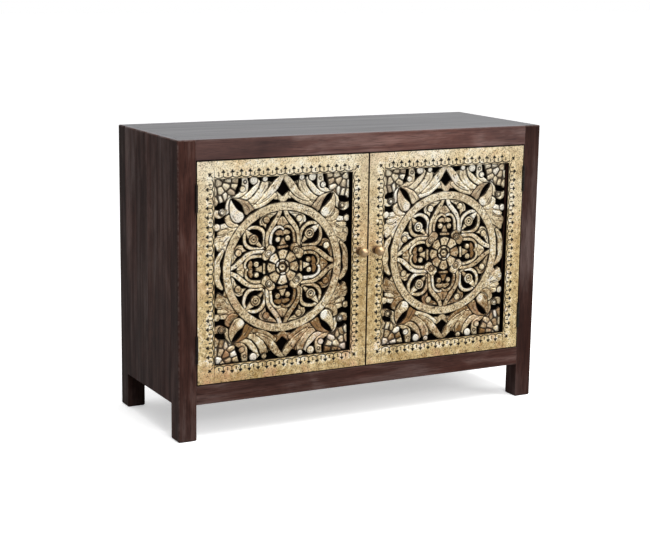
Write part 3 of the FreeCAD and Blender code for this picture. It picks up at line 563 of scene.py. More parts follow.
class Board:
    def __init__(self, size, halfWidth, halfHeight, seed):
        self.size = size
        self.u, self.v = [np.linspace(-half, half, int(round(2 * half / size["pitch"])) + 1)
                          for half in (halfWidth, halfHeight)]
        self.grid = np.meshgrid(self.u, self.v)
        self.height, self.edge, self.line, self.tone = [
            np.full(self.grid[0].shape, start) for start in (0.0, -9.0, 9.0, 0.4)]
        self.chance = random.Random(seed)
        self.phases = [self.chance.uniform(0, 2 * pi) for _ in range(4)]
        self.place = lambda point: point
        self.soft = 0.0

    # The cutter's hand wanders a little, the same way for strokes that lie side by side
    def put(self, point):
        u, v = self.place(point)
        reach, (a, b, c, d), (short, long) = self.size["wander"], self.phases, handWaves
        return (u + reach * (sin(v / short + a) + sin((u + v) / long + b)),
                v + reach * (sin(u / short + c) + sin((u - v) / long + d)))

    def drawn(self, points):
        return smoothRun([self.put(point) for point in points])

    def window(self, points, reach):
        low, high = np.min(points, axis=0) - reach, np.max(points, axis=0) + reach
        part = tuple(slice(max(start - 1, 0), end + 1) for start, end in (
            np.searchsorted(self.v, (low[1], high[1])), np.searchsorted(self.u, (low[0], high[0]))))
        return part, [values[part] for values in self.grid]

    def around(self, centre, reach):
        centre = self.put(centre)
        part, grid = self.window([centre], reach)
        return part, grid, np.hypot(grid[0] - centre[0], grid[1] - centre[1])

    def within(self, runs):
        outline = np.vstack([self.drawn(run)[:-1] for run in chained(runs)])
        part, grid = self.window(outline, margins["raised"])
        return part, grid, insideDistance(grid, outline)

    # Raises what lies inside to its top, rounded by the drop at its rim, with a groove cut round it
    def lift(self, part, grid, inside, top, rounding, drop, tone):
        if inside.size == 0:
            return
        size, covered = self.size, inside > 0
        height, edge, line = self.height[part], self.edge[part], self.line[part]
        share = np.clip(inside / (rounding * size["flat"]), 0, 1)
        own = top - drop * size["sink"] * (1 - np.sqrt(1 - (1 - share) ** 2))
        if tone is not None:
            lean, turn = self.chance.uniform(0.0, size["lean"]), self.chance.uniform(0, 2 * pi)
            lit = 0
            if covered.any():
                middleU, middleV = grid[0][covered].mean(), grid[1][covered].mean()
                tilt = (grid[0] - middleU) * cos(turn) + (grid[1] - middleV) * sin(turn)
                own = own + np.clip(lean * tilt, -size["leanMost"], size["leanMost"])
                # Strokes higher on the panel get a lighter tone: painted light from above
                lit = size["paintedLightRise"] * middleV
            near = np.clip(1 + inside / size["grooveWidth"], 0, 1)
            beside = (~covered) & (near > 0) & (height > 0)
            height[beside] = np.maximum(height[beside] - size["grooveDepth"] * near[beside], size["floor"])
            line[:] = np.minimum(line, np.abs(inside) + self.soft)
            line[covered] = inside[covered] + self.soft
            self.tone[part][covered] = tone + lit + self.chance.gauss(0, size["toneSpread"])
        height[covered] = np.minimum(own[covered], size["full"])
        edge[:] = np.maximum(edge, inside)

    def blob(self, runs, *shape):
        self.lift(*self.within(runs), *shape)

    def strap(self, points, widths, *shape):
        run = self.drawn(points)
        halves = np.interp(np.linspace(0, 1, len(run)), np.linspace(0, 1, len(widths)), np.array(widths) / 2)
        part, grid = self.window(run, max(widths) / 2 + margins["raised"])
        self.lift(part, grid, strapDistance(grid, run, halves), *shape)

    def leaf(self, *values):
        self.soft = self.size["leafLine"]
        self.strap(*values)
        self.soft = 0.0

    def bead(self, centre, radius, *shape):
        part, grid, away = self.around(centre, radius + margins["raised"])
        self.lift(part, grid, radius - away, *shape)

    # Paints a patch of light or shade on the tone: a painted highlight where the change is positive, painted
    # shade where it is negative
    def shade(self, centre, radius, change):
        part, grid, away = self.around(centre, radius)
        self.tone[part] += change * np.clip(1.5 - 1.5 * away / radius, 0, 1)

    def cut(self, part, away, width, depth, soft):
        height, line = self.height[part], self.line[part]
        solid = height > 0
        near = np.clip(1 - away / width, 0, 1)
        height[solid] = np.maximum(height[solid] - depth * near[solid], self.size["floor"])
        line[solid] = np.minimum(line[solid], np.maximum(away[solid] - width * cutLine["share"], 0) + soft)

    def vein(self, points, width, depth):
        run = self.drawn(points)
        part, grid = self.window(run, width + margins["cut"])
        self.cut(part, -strapDistance(grid, run, np.zeros(len(run))), width, depth, cutLine["vein"])

    def circle(self, centre, radius, width, depth):
        part, grid, away = self.around(centre, radius + width + margins["cut"])
        self.cut(part, np.abs(away - radius), width, depth, cutLine["circle"])

    def dot(self, centre, radius, depth):
        part, grid, away = self.around(centre, radius + margins["cut"])
        self.cut(part, np.maximum(away - cutLine["dotFlat"] * radius, 0), radius, depth, cutLine["dot"])

    # A shallow prick darkens the face a little
    def prick(self, centre, radius, depth):
        part, grid, away = self.around(centre, radius + margins["cut"])
        height, line = self.height[part], self.line[part]
        solid = height > 0
        height[solid] -= (depth * np.clip(1.3 - away / radius, 0, 1))[solid]
        line[:] = np.minimum(line, np.maximum(away - radius, 0) + cutLine["prick"])

    # Stones laid side by side in one outline, each with a dome and a tone of its own
    def cobbles(self, runs, centres, top, rise):
        size = self.size
        part, grid, inside = self.within(runs)
        away = np.stack([np.hypot(grid[0] - u, grid[1] - v) for u, v in map(self.put, centres)])
        order = np.sort(away, axis=0)
        cell = np.minimum((order[1] - order[0]) / 2, inside)
        self.lift(part, grid, inside, top, 2.0, 1.0, 0.5)
        cover = inside > 0
        share = np.clip((cell - size["stoneEdge"]) / size["stoneRound"], 0, 1)
        self.height[part][cover] = (top + rise * np.sqrt(1 - (1 - share) ** 2))[cover]
        self.line[part][cover] = cell[cover] * size["stoneLine"]
        tones = np.array([0.5 + self.chance.gauss(0, size["stoneSpread"]) for _ in centres])
        self.tone[part][cover] = tones[np.argmin(away, axis=0)][cover]


def both(run):
    return run + [(-u, v) for u, v in reversed(run)][1:]


# Strokes in mm from the panel's middle, drawn for one place and turned or mirrored to the others. Blobs start
# with the runs of their outline, straps and leaves with points and widths, beads with centre and radius; then
# come top, rounding, drop and tone, where None is bare ground, and the highest tones stand partly for painted
# highlights. Veins, circles and dots end with their depth; strokes that paint light and shade give centre,
# radius and change of tone.
groundStrokes = [
    ("strap", [(0, 40), (0, 64)], (16, 15), 3.2, 2, 0.5, None),
    ("blob", [[(24, 44), (36, 62), (46, 64)], [(58, 58), (64, 46)], [(62, 36), (44, 24)], [(30, 30),
     (24, 44)]], 4.6, 2, 0.5, None),
]
archGround = [("strap", [(0, 106), (18, 109), (31, 101), (38, 86), (39, 60)], (6, 7, 6), 3.4, 2, 0.5, None)]
tipStrokes = [
    ("blob", [both([(0, 129), (9, 124), (17, 112), (13, 105), (0, 103)])], 7.4, 9, 3.2, 0.35),
    ("vein", [(0, 126), (0, 112)], 1.2, 0.8),
    ("blob", [both([(0, 92), (7, 95), (17, 92), (22, 86), (14, 81), (5, 83), (0, 79)])], 6.4, 5, 2.4, 0.2),
    ("vein", [(0, 92), (0, 80)], 1.2, 1.2),
]
# One eighth, about its upright axis
eighthStrokes = [
    ("blob", [[(11, 142), (30, 139), (46, 136), (59, 130), (65, 120), (63, 110)], [(57, 109), (51, 104),
     (47, 98)], [(46, 107), (43, 115), (36, 118), (33, 126), (23, 132), (11, 142)]], 6.8, 5, 2.6, 0.45),
    ("vein", [(26, 134), (40, 134), (53, 130), (59, 121), (57, 113)], 1.4, 1.6),
    ("bead", (45.5, 122), 9.0, 8.0, 8, 3.2, 0.5),
    ("strap", [(53, 56), (51, 68), (51, 81), (54.5, 93), (63, 102), (74, 106), (86, 106), (98, 101)],
     (7, 8.5, 10, 9.5, 7), 8.4, 4.5, 2.4, 0.6),
    ("strap", [(0, 97), (6, 102), (14, 102.5), (23, 98), (29.5, 89), (32, 78), (33, 66), (32, 56)],
     (6, 8, 8.5, 8), 7.8, 4, 2.2, 0.5),
    ("strap", [(7, 142), (13, 129), (21, 118), (30, 107), (37.5, 96), (42.5, 84), (44, 70), (43.5, 55)],
     (11, 13, 12.5, 10, 9.5), 8.8, 4.5, 2.6, 0.5),
    ("dot", (13, 128), 1.9, 1.6),
    ("dot", (34, 103), 1.6, 1.4),
]
lobeStrokes = [
    ("blob", [[(-9.5, 57), (9.5, 57)], [(6, 67), (2, 77)], [(0, 74), (-2, 77)], [(-6, 67), (-9.5, 57)]], 7.0,
     4, 2.5, 0.4),
    ("bead", (13.5, 72.5), 7.2, 8.8, 7, 3.2, 0.5),
    ("bead", (-13.5, 72.5), 7.2, 8.8, 7, 3.2, 0.5),
    ("strap", [(-11.5, 51.5), (11.5, 51.5)], (7, 7), 7.4, 3, 2.0, 0.38),
]
# About the diagonal of a quarter
diagonalStrokes = [
    ("blob", [[(29, 32), (21, 42), (20, 50), (27, 57)], [(38, 58), (47, 47)], [(58, 38), (57, 27)],
     [(50, 20), (42, 21), (32, 29)], [(29, 32)]], 7.6, 5, 2.2, 0.5),
    ("bead", (36, 40), 9.0, 8.4, 5, 1.6, 0.52),
    ("circle", (36, 40), 5.0, 0.8, 1.0),
    ("bead", (59, 64), 5.5, 7.0, 5, 2.4, 0.6),
    ("strap", [(58, 62), (66, 70)], (8, 12), 7.2, 4, 2.0, 0.5),
    ("strap", [(80, 85), (90, 94), (99, 101)], (20, 13, 6), 7.8, 5, 2.4, 0.62),
    ("bead", (75, 80), 13.2, 8.2, 4, 2.4, 0.58),
    ("circle", (75, 80), 7.4, 1.0, 1.8),
    ("dot", (75, 80), 2.6, 5.0),
]
rosette = {"petals": 8, "segments": 6, "segmentShares": (0.2, 0.5, 0.8), "segmentRadius": 16.2}
petalStrokes = [
    ("blob", [[(-7.6, 20), (-13.6, 40)], [(0, 44.5), (13.6, 40)], [(7.6, 20)], [(-7.6, 20)]], 8.6, 3.5, 2.0,
     0.52),
    ("dot", (4, 37), 1.6, 1.2),
]
heartStrokes = [
    ("bead", (-1, 0), 8.2, 8.4, 3, 1.6, 0.55),
    ("dot", (-1, 0), 2.6, 5),
]
cornerRuns = [[(120, 233), (188, 233)], [(188, 167)], [(183, 163), (176, 170), (170, 170), (163, 172),
              (156, 172), (149, 179)], [(142, 185), (131, 188), (129, 202), (124, 214), (120, 233)]]
cornerStones = [(130, 226), (152, 227), (176, 223), (134, 210), (156, 213), (171, 203), (185, 202),
                (141, 196), (156, 184), (169, 180), (182, 176), (140, 242), (192, 224), (146, 181),
                (165, 236)]
# One quarter of the foliage, right of the crest and above the side bracket
foliageStrokes = [
    ("blob", [[(18, 194), (28, 212), (44, 219), (60, 214), (68, 206)], [(84, 207), (97, 195), (108, 184)],
     [(124, 186), (140, 183)], [(124, 175), (113, 163), (107, 148)], [(104, 140), (98, 136)], [(80, 149),
     (60, 157), (45, 164), (35, 174), (21, 181)], [(18, 194)]], 6.6, 4, 2.2, 0.42),
    ("leaf", [(22, 184), (34, 178), (50, 168), (66, 161), (88, 152)], (12, 17, 18, 15, 8), 7.2, 6, 2.6, 0.5),
    ("leaf", [(105, 230), (104, 216), (106, 202), (114, 192), (128, 186), (143, 181)],
     (15, 18, 20, 14, 9, 4), 7.6, 6, 2.8, 0.55),
    ("bead", (111.5, 203), 8, 8.8, 7, 3.2, 0.7),
    ("circle", (104, 220), 4.0, 1.2, 0.9),
    ("leaf", [(70, 225), (66, 216), (72, 206), (80, 198), (93, 187), (110, 180), (126, 179)],
     (6, 10, 15, 17, 15, 10, 4), 7.6, 5.5, 2.8, 0.6),
    ("bead", (80.5, 223.5), 10.5, 9.0, 9, 3.6, 0.85),
    ("leaf", [(51, 222), (52, 210), (55, 200), (64, 186), (80, 174), (102, 168)], (14, 21, 23, 23, 17, 7),
     8.0, 7, 2.8, 0.5),
    ("vein", [(50, 208), (54, 198), (60, 190)], 1.2, 1.2),
    ("dot", (66, 203), 2.0, 1.6),
    ("shade", (66, 186), 16, 0.14),
    ("shade", (55, 211), 12, -0.16),
    ("bead", (51, 225.5), 7.5, 8.8, 7, 3.2, 0.85),
    ("leaf", [(1, 231), (13, 219), (21, 209), (29, 199), (38, 188), (52, 176), (72, 165)],
     (12, 17, 20, 21, 19, 14, 6), 8.6, 6.5, 2.8, 0.52),
    ("vein", [(36, 219), (38, 210), (42, 200), (50, 190)], 2.4, 5.0),
    ("vein", [(63, 218), (66, 207), (72, 196), (83, 185)], 2.6, 5.5),
    ("vein", [(22, 205), (27, 198)], 1.2, 1.2),
    ("vein", [(34, 186), (46, 177), (58, 171)], 1.2, 1.2),
    ("shade", (27, 194), 12, 0.22),
    ("dot", (28, 207), 1.6, 1.4),
    ("blob", [[(79, 149), (88, 160), (97, 172)], [(112, 179), (126, 182), (140, 183)], [(124, 175),
     (113, 163), (107, 148)], [(104, 140), (98, 136)], [(90, 143), (79, 149)]], 8.2, 10, 3.4, 0.3),
    ("vein", [(92, 147), (97, 156), (105, 166)], 1.2, 0.8),
    ("blob", [[(118, 112), (126, 121), (137, 127), (144, 138)], [(149, 128), (157, 121), (166, 119)],
     [(172, 110), (182, 106)], [(176, 101), (178, 92)], [(186, 84), (187, 72), (183, 63)], [(181, 55),
     (174, 50)], [(164, 58)], [(157, 46), (160, 38)], [(155, 56), (148, 72), (137, 92), (118, 112)]], 7.6, 4,
     2.6, 0.5),
    ("leaf", [(146, 117), (157, 115), (168, 113)], (6, 13, 10), 8.2, 4, 2.4, 0.68),
    ("leaf", [(152, 103), (163, 99), (174, 97)], (5, 12, 10), 8.0, 4, 2.4, 0.6),
    ("bead", (180, 113), 9, 8.8, 8, 3.4, 0.7),
    ("vein", [(140, 100), (150, 96), (160, 89), (178, 87)], 1.5, 1.8),
    ("vein", [(163, 76), (173, 77), (184, 73)], 1.4, 1.6),
    ("vein", [(155, 66), (163, 61), (172, 56), (178, 52)], 1.6, 2.4),
    ("vein", [(149, 84), (157, 76), (163, 68)], 1.2, 1.0),
    ("dot", (151, 92), 1.8, 1.4),
    ("dot", (171, 82), 1.6, 1.2),
    ("shade", (150, 82), 14, 0.14),
    ("leaf", [(124, 113), (138, 114), (148, 121), (152, 131), (147, 139)], (5, 13, 15, 13, 5), 8.4, 5.5, 2.8,
     0.45),
    ("leaf", [(145, 181), (149, 167), (151, 155), (157, 147), (167, 140)], (9, 14, 13, 8), 8.0, 6, 2.8,
     0.62),
    ("blob", [[(155, 153), (164, 157.5), (175, 154), (186, 156)], [(189, 146), (185, 137)], [(174, 133.5),
     (163, 137)], [(156, 143), (155, 153)]], 7.2, 6, 3, 0.5),
    ("bead", (167, 148), 8.5, 8.8, 8, 3.2, 0.6),
    ("circle", (167, 148), 5.2, 1.2, 1.2),
    ("blob", [[(142, 180), (134, 166), (124, 154), (110, 144)], [(106, 134), (111, 124), (121, 119)],
     [(134, 123), (143, 137), (147, 152)], [(147, 166), (142, 180)]], 9.2, 8, 3.2, 0.42),
    ("shade", (118, 131), 15, 0.45),
    ("vein", [(129, 126), (133, 132), (137, 139)], 1.5, 1.6),
    ("cobbles", cornerRuns, cornerStones, 4.2, 4.4),
]
crestStrokes = [
    ("blob", [both([(0, 163), (8, 167), (13, 172), (24, 173), (23, 182), (18, 193), (9, 187), (0, 180)])],
     7.0, 6, 2.6, 0.4),
    ("vein", [(-14, 184), (-14, 173)], 1.2, 1.2),
    ("vein", [(14, 184), (14, 173)], 1.2, 1.2),
]
bracketStrokes = [
    ("strap", [(165, 52), (173, 40), (179, 24), (178, 3), (179, -16), (173, -32), (165, -42)],
     (9, 15, 15, 19, 15, 15, 9), 7.8, 6, 3.0, 0.5),
    ("vein", [(168, 46), (174, 34), (182, 22)], 1.2, 0.8),
]


def stroke(board, strokes, place):
    board.place = place
    for kind, *values in strokes:
        getattr(board, kind)(*values)


def turnedBy(quarters, mirror=1):
    def place(point):
        u, v = point[0] * mirror, point[1]
        for _ in range(quarters):
            u, v = -v, u
        return u, v
    return place


def mirroredBy(across, upright):
    return lambda point: (point[0] * across, point[1] * upright)


def spunBy(turn):
    return lambda point: (point[0] * cos(turn) + point[1] * sin(turn),
                          point[1] * cos(turn) - point[0] * sin(turn))


def carveMiddle(board):
    board.bead((0, 0), carving["groundReach"], carving["ground"], 2, 0.5, None)
    for quarter in range(4):
        stroke(board, groundStrokes, turnedBy(quarter))
        for mirror in (1, -1):
            stroke(board, archGround, turnedBy(quarter, mirror))
    for quarter in range(4):
        stroke(board, tipStrokes, turnedBy(quarter))
        for mirror in (1, -1):
            stroke(board, eighthStrokes, turnedBy(quarter, mirror))
        stroke(board, lobeStrokes, turnedBy(quarter))
    for quarter in range(4):
        stroke(board, diagonalStrokes, turnedBy(quarter))
    for petal in range(rosette["petals"]):
        stroke(board, petalStrokes, spunBy(2 * pi * petal / rosette["petals"]))
    stroke(board, [("bead", (0, 0), 20.5, 4.8, 3, 0.4, 0.2)], turnedBy(0))
    for segment in range(rosette["segments"]):
        turns = [2 * pi * (segment + share) / rosette["segments"] for share in rosette["segmentShares"]]
        arc = [(rosette["segmentRadius"] * cos(turn), rosette["segmentRadius"] * sin(turn))
               for turn in turns]
        board.strap(arc, (5, 6.5, 5), 7.8, 3, 1.4, 0.6)
    stroke(board, heartStrokes, turnedBy(0))


def carveRing(board):
    away = np.hypot(*board.grid)
    inside = np.minimum(carving["ring"] - away, away - carving["ringInner"])
    board.lift(slice(None), board.grid, inside, *carving["ringShape"], None)
    on = inside > 0
    board.tone[on], board.line[on] = carving["ringTone"], inside[on]
    beside = (inside <= 0) & (inside > -carving["ringLine"])
    board.line[beside] = np.minimum(board.line[beside], -inside[beside])
    board.place = turnedBy(0)
    for _ in range(carving["ringDots"]):
        angle = board.chance.uniform(0, 2 * pi)
        radius = board.chance.uniform(carving["dotsFrom"], carving["dotsTo"])
        reach = board.chance.uniform(carving["dotLeast"], carving["dotMost"])
        board.prick((radius * cos(angle), radius * sin(angle)), reach, carving["dotDepth"])


def carveBoard(board):
    carveMiddle(board)
    for upright in (1, -1):
        stroke(board, crestStrokes, mirroredBy(1, upright))
        for across in (1, -1):
            stroke(board, foliageStrokes, mirroredBy(across, upright))
    for across in (1, -1):
        stroke(board, bracketStrokes, mirroredBy(across, 1))
    carveRing(board)


# Brown patina as uneven dark lines at the cuts; painted shade beside them and on what lies deep; the side
# walls made near-black

patinaAndShade = {
    "lineFrom": 0.9, "lineUneven": 0.35, "lineWidth": 1.1, "lineDark": 0.93, "shade": 0.25, "shadeWidth": 5.0,
    "wall": 0.9, "low": 5.4, "lowReach": 1.6,
}


def patinaOf(board):
    gridU, gridV = board.grid
    a, b, c, d = board.phases
    uneven = np.sin(gridU / 5.3 + a) * np.sin(gridV / 6.1 + b) + np.sin((gridU + gridV) / 7.7 + c)
    line = 1 - (board.line - patinaAndShade["lineFrom"] - patinaAndShade["lineUneven"] * uneven) / patinaAndShade["lineWidth"]
    return np.maximum.reduce([
        np.clip(line, 0, 1) * patinaAndShade["lineDark"],
        # Then painted shade beside the cuts, the side walls made near-black, and painted shade where the
        # carving lies deep
        patinaAndShade["shade"] * np.clip(1 - board.line / patinaAndShade["shadeWidth"], 0, 1),
        np.clip(1 - board.edge / patinaAndShade["wall"], 0, 1),
        np.clip((patinaAndShade["low"] - board.height) / patinaAndShade["lowReach"], 0, 1)])


# The drawing as a mesh: its border follows the outlines, its sides run back to the backing board

fitting = {"share": 0.55, "steepest": 0.3, "smooth": 50}


def carvedPiece(name, board, keep, fields, centre, backY, frontY):
    pitch = board.u[1] - board.u[0]
    edge = np.minimum(board.edge, keep)
    slopes = np.gradient(edge, pitch)[::-1]
    steep = np.maximum(np.hypot(*slopes), fitting["steepest"])
    near = np.abs(edge) < fitting["share"] * pitch
    moved = [np.clip(values - np.where(near, edge * slope / steep ** 2, 0), values.min(), values.max())
             for values, slope in zip(board.grid, slopes)]
    rows, columns = edge.shape
    piece = added(name, bpy.ops.mesh.primitive_grid_add,
                  x_subdivisions=columns - 1, y_subdivisions=rows - 1, size=1)
    mesh = piece.data
    flat = read(mesh.vertices, "co", 3)
    column = np.round((flat[:, 0] + 0.5) * (columns - 1)).astype(int)
    row = np.round((flat[:, 1] + 0.5) * (rows - 1)).astype(int)
    height = np.clip(board.height[row, column], board.size["floor"], None)
    places = np.stack([centre[0] + moved[0][row, column] * mm,
                       backY - height / board.size["full"] * (backY - frontY),
                       centre[1] + moved[1][row, column] * mm], axis=1)
    mesh.vertices.foreach_set("co", places.ravel())
    for label, field in fields.items():
        store(mesh, label, field[row, column], "POINT")
    corners = read(mesh.loops, "vertex_index", kind=int)
    outside = edge[row, column] < -fitting["share"] * pitch
    choose(piece, "FACE", outside[corners].reshape(-1, 4).any(axis=1))
    bpy.ops.mesh.delete(type="FACE")
    select("DESELECT", "VERT")
    bpy.ops.mesh.select_loose()
    bpy.ops.mesh.delete(type="VERT")
    select("DESELECT", "EDGE")
    bpy.ops.mesh.select_non_manifold(extend=False)
    bpy.ops.mesh.extrude_edges_move()
    bpy.ops.transform.resize(value=(1, 0, 1), center_override=(centre[0], backY, centre[1]))
    bpy.ops.mesh.fill(use_beauty=False)
    select("SELECT", "FACE")
    bpy.ops.mesh.normals_make_consistent(inside=False)
    change("OBJECT")
    bpy.ops.object.shade_smooth_by_angle(angle=radians(fitting["smooth"]))
    print("stage:", name, len(mesh.polygons), "faces")
    return piece


def makeCarvings():
    for number, side in enumerate(doorSides):
        nodeName = side + "_door_carved_panel"
        low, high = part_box(nodeName)
        board = Board(carving, (high.x - low.x) / 2 / mm, (high.z - low.z) / 2 / mm, carving["seed"] + number)
        carveBoard(board)
        away = np.hypot(*board.grid)
        fields = {"patinaAndShade": patinaOf(board), "tone": np.clip(board.tone + carving["toneLift"], 0, 1)}
        for name, keep in (("medallion", carving["ring"] - away), ("foliage", away - carving["ring"])):
            piece = carvedPiece(f"{side}_carved_{name}", board, keep, fields, middleOf(nodeName),
                                high.y, low.y)
            dress(piece, carvedGold)
            hand(piece, side + "_door", "gold_carving", nodeName)


makeCarvings()


# Stamped border: a thin gold band round each opening, with scallops, trefoils and pairs of dots

stamped = {
    "pitch": 0.8, "seed": 31, "wander": 0.35, "full": 1.0, "floor": 0.08, "thick": 0.35,
    "halfWidth": 191.0, "halfHeight": 232.0, "start": 1.0, "width": 24.5, "fade": 3.0, "across": 16, "up": 20,
    "line": 1.9, "stem": 0.9, "worn": (0.75, 1.1), "cornerDepth": 0.8, "markDepth": 0.4, "markFade": 1.5,
    "tone": 0.5, "bright": 0.12,
    "trefoil": [(-3.0, 17.0, 2.1), (3.0, 17.0, 2.1), (0, 16.4, 1.6), (0, 20.6, 2.2)],
    "stemPoints": [(0, 6.2), (0, 9.0), (0, 13.5)], "scallopShares": (0, 0.22, 0.5, 0.78, 1),
    "scallopOut": (6.4, 3.5, 2.6, 3.5, 6.4), "dotsOut": (9.0, 13.4), "dotRadius": 1.9,
    "mitreOut": 14, "mitreWidth": 0.9, "mitreDepth": 0.6,
}


def stampTrefoil(board, place, depth):
    board.place = place
    board.vein(stamped["stemPoints"], stamped["line"] * stamped["stem"], depth)
    for along, out, radius in stamped["trefoil"]:
        board.dot((along, out), radius, depth)


def stampSide(board, count, step, place):
    for unit in range(count):
        start = (unit - count / 2) * step

        def along(point):
            return place((point[0] + start, point[1]))
        depth = board.chance.uniform(*stamped["worn"])
        if unit:
            stampTrefoil(board, along, depth)
        board.place = along
        depth = board.chance.uniform(*stamped["worn"])
        scallop = [(step * share, out) for share, out in zip(stamped["scallopShares"], stamped["scallopOut"])]
        board.vein(scallop, stamped["line"], depth)
        for out in stamped["dotsOut"]:
            board.dot((step / 2, out), stamped["dotRadius"], depth)


def stampBorder(board):
    board.height[:] = stamped["full"]
    width, height, slant = stamped["halfWidth"], stamped["halfHeight"], sqrt(0.5)
    for turn in (1, -1):
        stampSide(board, stamped["across"], 2 * width / stamped["across"],
                  lambda point: (point[0] * turn, turn * (height + point[1])))
        stampSide(board, stamped["up"], 2 * height / stamped["up"],
                  lambda point: (turn * (width + point[1]), point[0] * turn))
        for across in (1, -1):
            stampTrefoil(board, lambda point: (across * (width + (point[1] + point[0]) * slant),
                                               turn * (height + (point[1] - point[0]) * slant)),
                         stamped["cornerDepth"])
            board.place = mirroredBy(across, turn)
            board.vein([(width, height + out) for out in (0, stamped["mitreOut"], stamped["width"] + 2)],
                       stamped["mitreWidth"], stamped["mitreDepth"])


def makeBorders():
    for number, side in enumerate(doorSides):
        centre, face = middleOf(side + "_door_carved_panel"), doorFace(side)
        width, height, reach = stamped["halfWidth"], stamped["halfHeight"], stamped["width"]
        board = Board(stamped, width + reach, height + reach, stamped["seed"] + number)
        stampBorder(board)
        out = np.maximum(np.abs(board.grid[0]) - width, np.abs(board.grid[1]) - height)
        marks = np.clip((stamped["full"] - board.height) / stamped["markDepth"], 0, 1)
        marks = marks * np.clip((reach - out) / stamped["markFade"], 0, 1)
        board.height *= np.clip((reach - out) / stamped["fade"], stamped["floor"], 1)
        board.edge = out - stamped["start"]
        # The band between the inner edge and the outer fade is lightened: a painted highlight
        paintedHighlightBand = np.clip((out - 2) / 3, 0, 1) * np.clip((reach - out) / 5, 0, 1)
        fields = {"edge": marks, "board": stamped["tone"] + stamped["bright"] * paintedHighlightBand}
        border = carvedPiece(side + "_stamped_border", board, reach - out + 1.0, fields, centre,
                             face, face - stamped["thick"] * mm)
        dress(border, frameGold)
        hand(border, side + "_door", "gold_frame")


makeBorders()


# Knobs and their roses, turned round the axis that points out of the door

turning = {"steps": 40, "merge": 0.01, "smooth": 40}
turned = {
    "turned_knob": {"node": "knob", "darkTo": 14.0, "lightFrom": 22.0, "profile": [
        (3.0, 0.0), (3.0, 5.4), (4.2, 6.4), (5.6, 6.2), (7.2, 5.4), (9.0, 5.6), (11.0, 7.2), (13.5, 9.4),
        (16.5, 11.0), (20.0, 11.8), (24.0, 12.0), (27.5, 11.4), (30.6, 9.8), (33.2, 7.4), (35.0, 4.6),
        (35.8, 2.0), (36.0, 0.0)]},
    "turned_rose": {"node": "knob_rose", "darkTo": 30.0, "lightFrom": 31.0, "profile": [
        (0.02, 0.0), (0.02, 10.6), (0.7, 11.0), (1.5, 10.9), (2.0, 10.1), (2.3, 8.9), (3.0, 8.2),
        (3.0, 0.0)]},
}


def turnedPiece(name, profile, centre):
    piece = added(name, bpy.ops.mesh.primitive_plane_add, size=1)
    change("EDIT")
    select("SELECT", "VERT")
    bpy.ops.mesh.merge(type="CENTER")
    out, radius = profile[0]
    bpy.ops.transform.translate(value=(centre[0] + radius * mm, centre[1] - out * mm, centre[2]))
    for (out, radius), (nextOut, nextRadius) in zip(profile[:-1], profile[1:]):
        step = ((nextRadius - radius) * mm, (out - nextOut) * mm, 0)
        bpy.ops.mesh.extrude_vertices_move(TRANSFORM_OT_translate={"value": step})
    select("SELECT", "VERT")
    bpy.ops.mesh.spin(steps=turning["steps"], angle=2 * pi, center=centre, axis=(0, 1, 0))
    select("SELECT", "VERT")
    bpy.ops.mesh.remove_doubles(threshold=turning["merge"] * mm)
    bpy.ops.mesh.normals_make_consistent(inside=False)
    change("OBJECT")
    bpy.ops.object.shade_smooth_by_angle(angle=radians(turning["smooth"]))
    return piece


for side in doorSides:
    for label, shape in turned.items():
        nodeName = f"{side}_{shape['node']}"
        face, (x, z) = doorFace(side), middleOf(nodeName)
        piece = turnedPiece(f"{side}_{label}", shape["profile"], (x, face, z))
        out = (face - read(piece.data.vertices, "co", 3)[:, 1]) / mm
        tarnish = np.clip((shape["lightFrom"] - out) / (shape["lightFrom"] - shape["darkTo"]), 0, 1)
        store(piece.data, "tarnish", tarnish, "POINT")
        dress(piece, agedBrass)
        hand(piece, side + "_door", "brass", nodeName)
print("stage: knobs turned")


# Hardware and boards that keep their CAD shape; a name with {} is there once for each side

carriedOver = {
    blackBoard: ["{}_door_backing_board"],
    blackIron: ["{}_hinge_pins", "{}_lower_hinge_post_leaf", "{}_lower_hinge_door_leaf",
                "{}_upper_hinge_post_leaf", "{}_upper_hinge_door_leaf"],
    dullSteel: ["post_hinge_screws", "case_screws", "{}_door_strike_plate", "{}_door_screws",
                "{}_knob_screw"],
    magnetSteel: ["catch_magnets"],
    catchPlastic: ["catch_housing"],
}
for material, names in carriedOver.items():
    for nodeName in {name.format(side) for name in names for side in doorSides}:
        dress(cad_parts[nodeName], material)
print("stage: hardware dressed")


# Studio: pale floor, soft lamps above and in front, a sky brightest above and behind, the photo's viewpoint

studio = {
    "floorSize": 60.0, "floorSeen": (0.9, 0.9, 0.9), "floorBounce": (0.4, 0.4, 0.4), "floorLift": 0.42,
    "skyAim": (0.3, 0.42, 0.86), "skyFrom": 0.0, "skyTo": 0.75, "skyLow": 0.07, "skyHigh": 0.95,
    "cameraPlace": (-1.91393, -3.55928, 1.16525), "yaw": 0.4876, "pitch": -0.1999, "roll": 0.0140,
    "lens": 85.08, "sensor": 36.0,
    "lamps": {
        "overhead": ((0.3, -0.9, 3.0), (0.0, 0.0, 0.3), (2.6, 2.2), 90.0),
        "frontRight": ((3.4, -3.2, 2.4), (0.1, 0.0, 0.4), (2.0, 2.0), 90.0),
        "front": ((-0.5, -4.6, 2.2), (0.0, 0.0, 0.4), (2.0, 1.6), 95.0),
    },
}


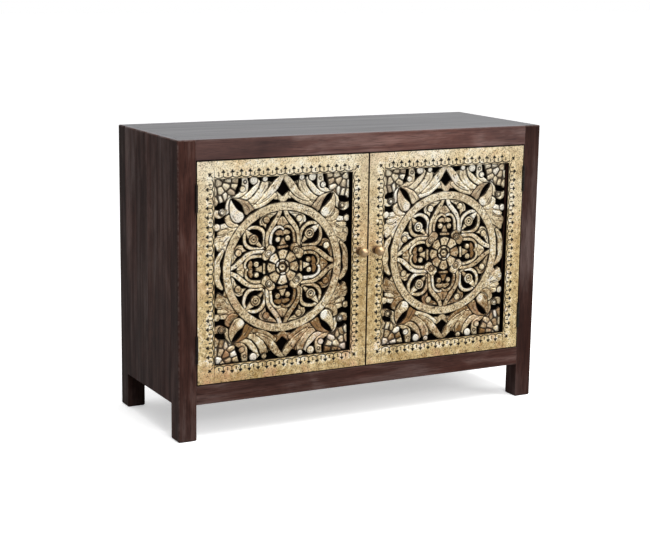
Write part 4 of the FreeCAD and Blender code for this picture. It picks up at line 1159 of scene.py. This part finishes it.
def makeFloor():
    floor = added("studioFloor", bpy.ops.mesh.primitive_plane_add, size=studio["floorSize"])
    material, shader, place = newMaterial("paleFloor", Roughness=0.9, Specular_IOR_Level=0.05,
                                          Emission_Strength=studio["floorLift"])
    seen = node("LightPath").outputs["Is Camera Ray"]
    cloud = span(noise(place, 3, 2, 0.55), 0.3, 0.7, 0.0, 0.02)
    colour = mixed(seen, studio["floorBounce"], studio["floorSeen"])
    plug(shader, {"Base Color": mixed(cloud, colour, (0.7, 0.7, 0.7)),
                  "Emission Color": mixed(seen, (0, 0, 0), (1, 1, 1))})
    dress(floor, material)


def makeSky():
    world = bpy.data.worlds.new("studioWorld")
    world.use_nodes = True
    bench["tree"] = world.node_tree
    way = node("TexCoord").outputs["Generated"]
    toward = node("VectorMath", {0: way, 1: studio["skyAim"]}, operation="DOT_PRODUCT").outputs["Value"]
    glow = span(toward, studio["skyFrom"], studio["skyTo"], studio["skyLow"], studio["skyHigh"])
    seen = node("LightPath").outputs["Is Camera Ray"]
    plug(world.node_tree.nodes["Background"], {"Color": (1, 1, 1), "Strength": joined("MAXIMUM", glow, seen)})
    bpy.context.scene.world = world


def makeLamps():
    for name, (place, aim, size, power) in studio["lamps"].items():
        lamp = bpy.data.lights.new(name, "AREA")
        lamp.shape, lamp.size, lamp.size_y, lamp.energy = "RECTANGLE", *size, power
        holder = newObject(name, lamp)
        holder.location = place
        holder.rotation_euler = (Vector(aim) - Vector(place)).to_track_quat("-Z", "Y").to_euler()


def makeCamera():
    lens = bpy.data.cameras.new("photoCamera")
    lens.lens, lens.sensor_width = studio["lens"], studio["sensor"]
    camera = newObject("photoCamera", lens)
    camera.matrix_world = (Matrix.Translation(studio["cameraPlace"]) @ Matrix.Rotation(-studio["yaw"], 4, "Z")
                           @ Matrix.Rotation(pi / 2 + studio["pitch"], 4, "X")
                           @ Matrix.Rotation(studio["roll"], 4, "Z"))
    bpy.context.scene.camera = camera
    bpy.context.scene.view_settings.view_transform = "Standard"


makeFloor()
makeSky()
makeLamps()
makeCamera()
print("stage: studio ready")
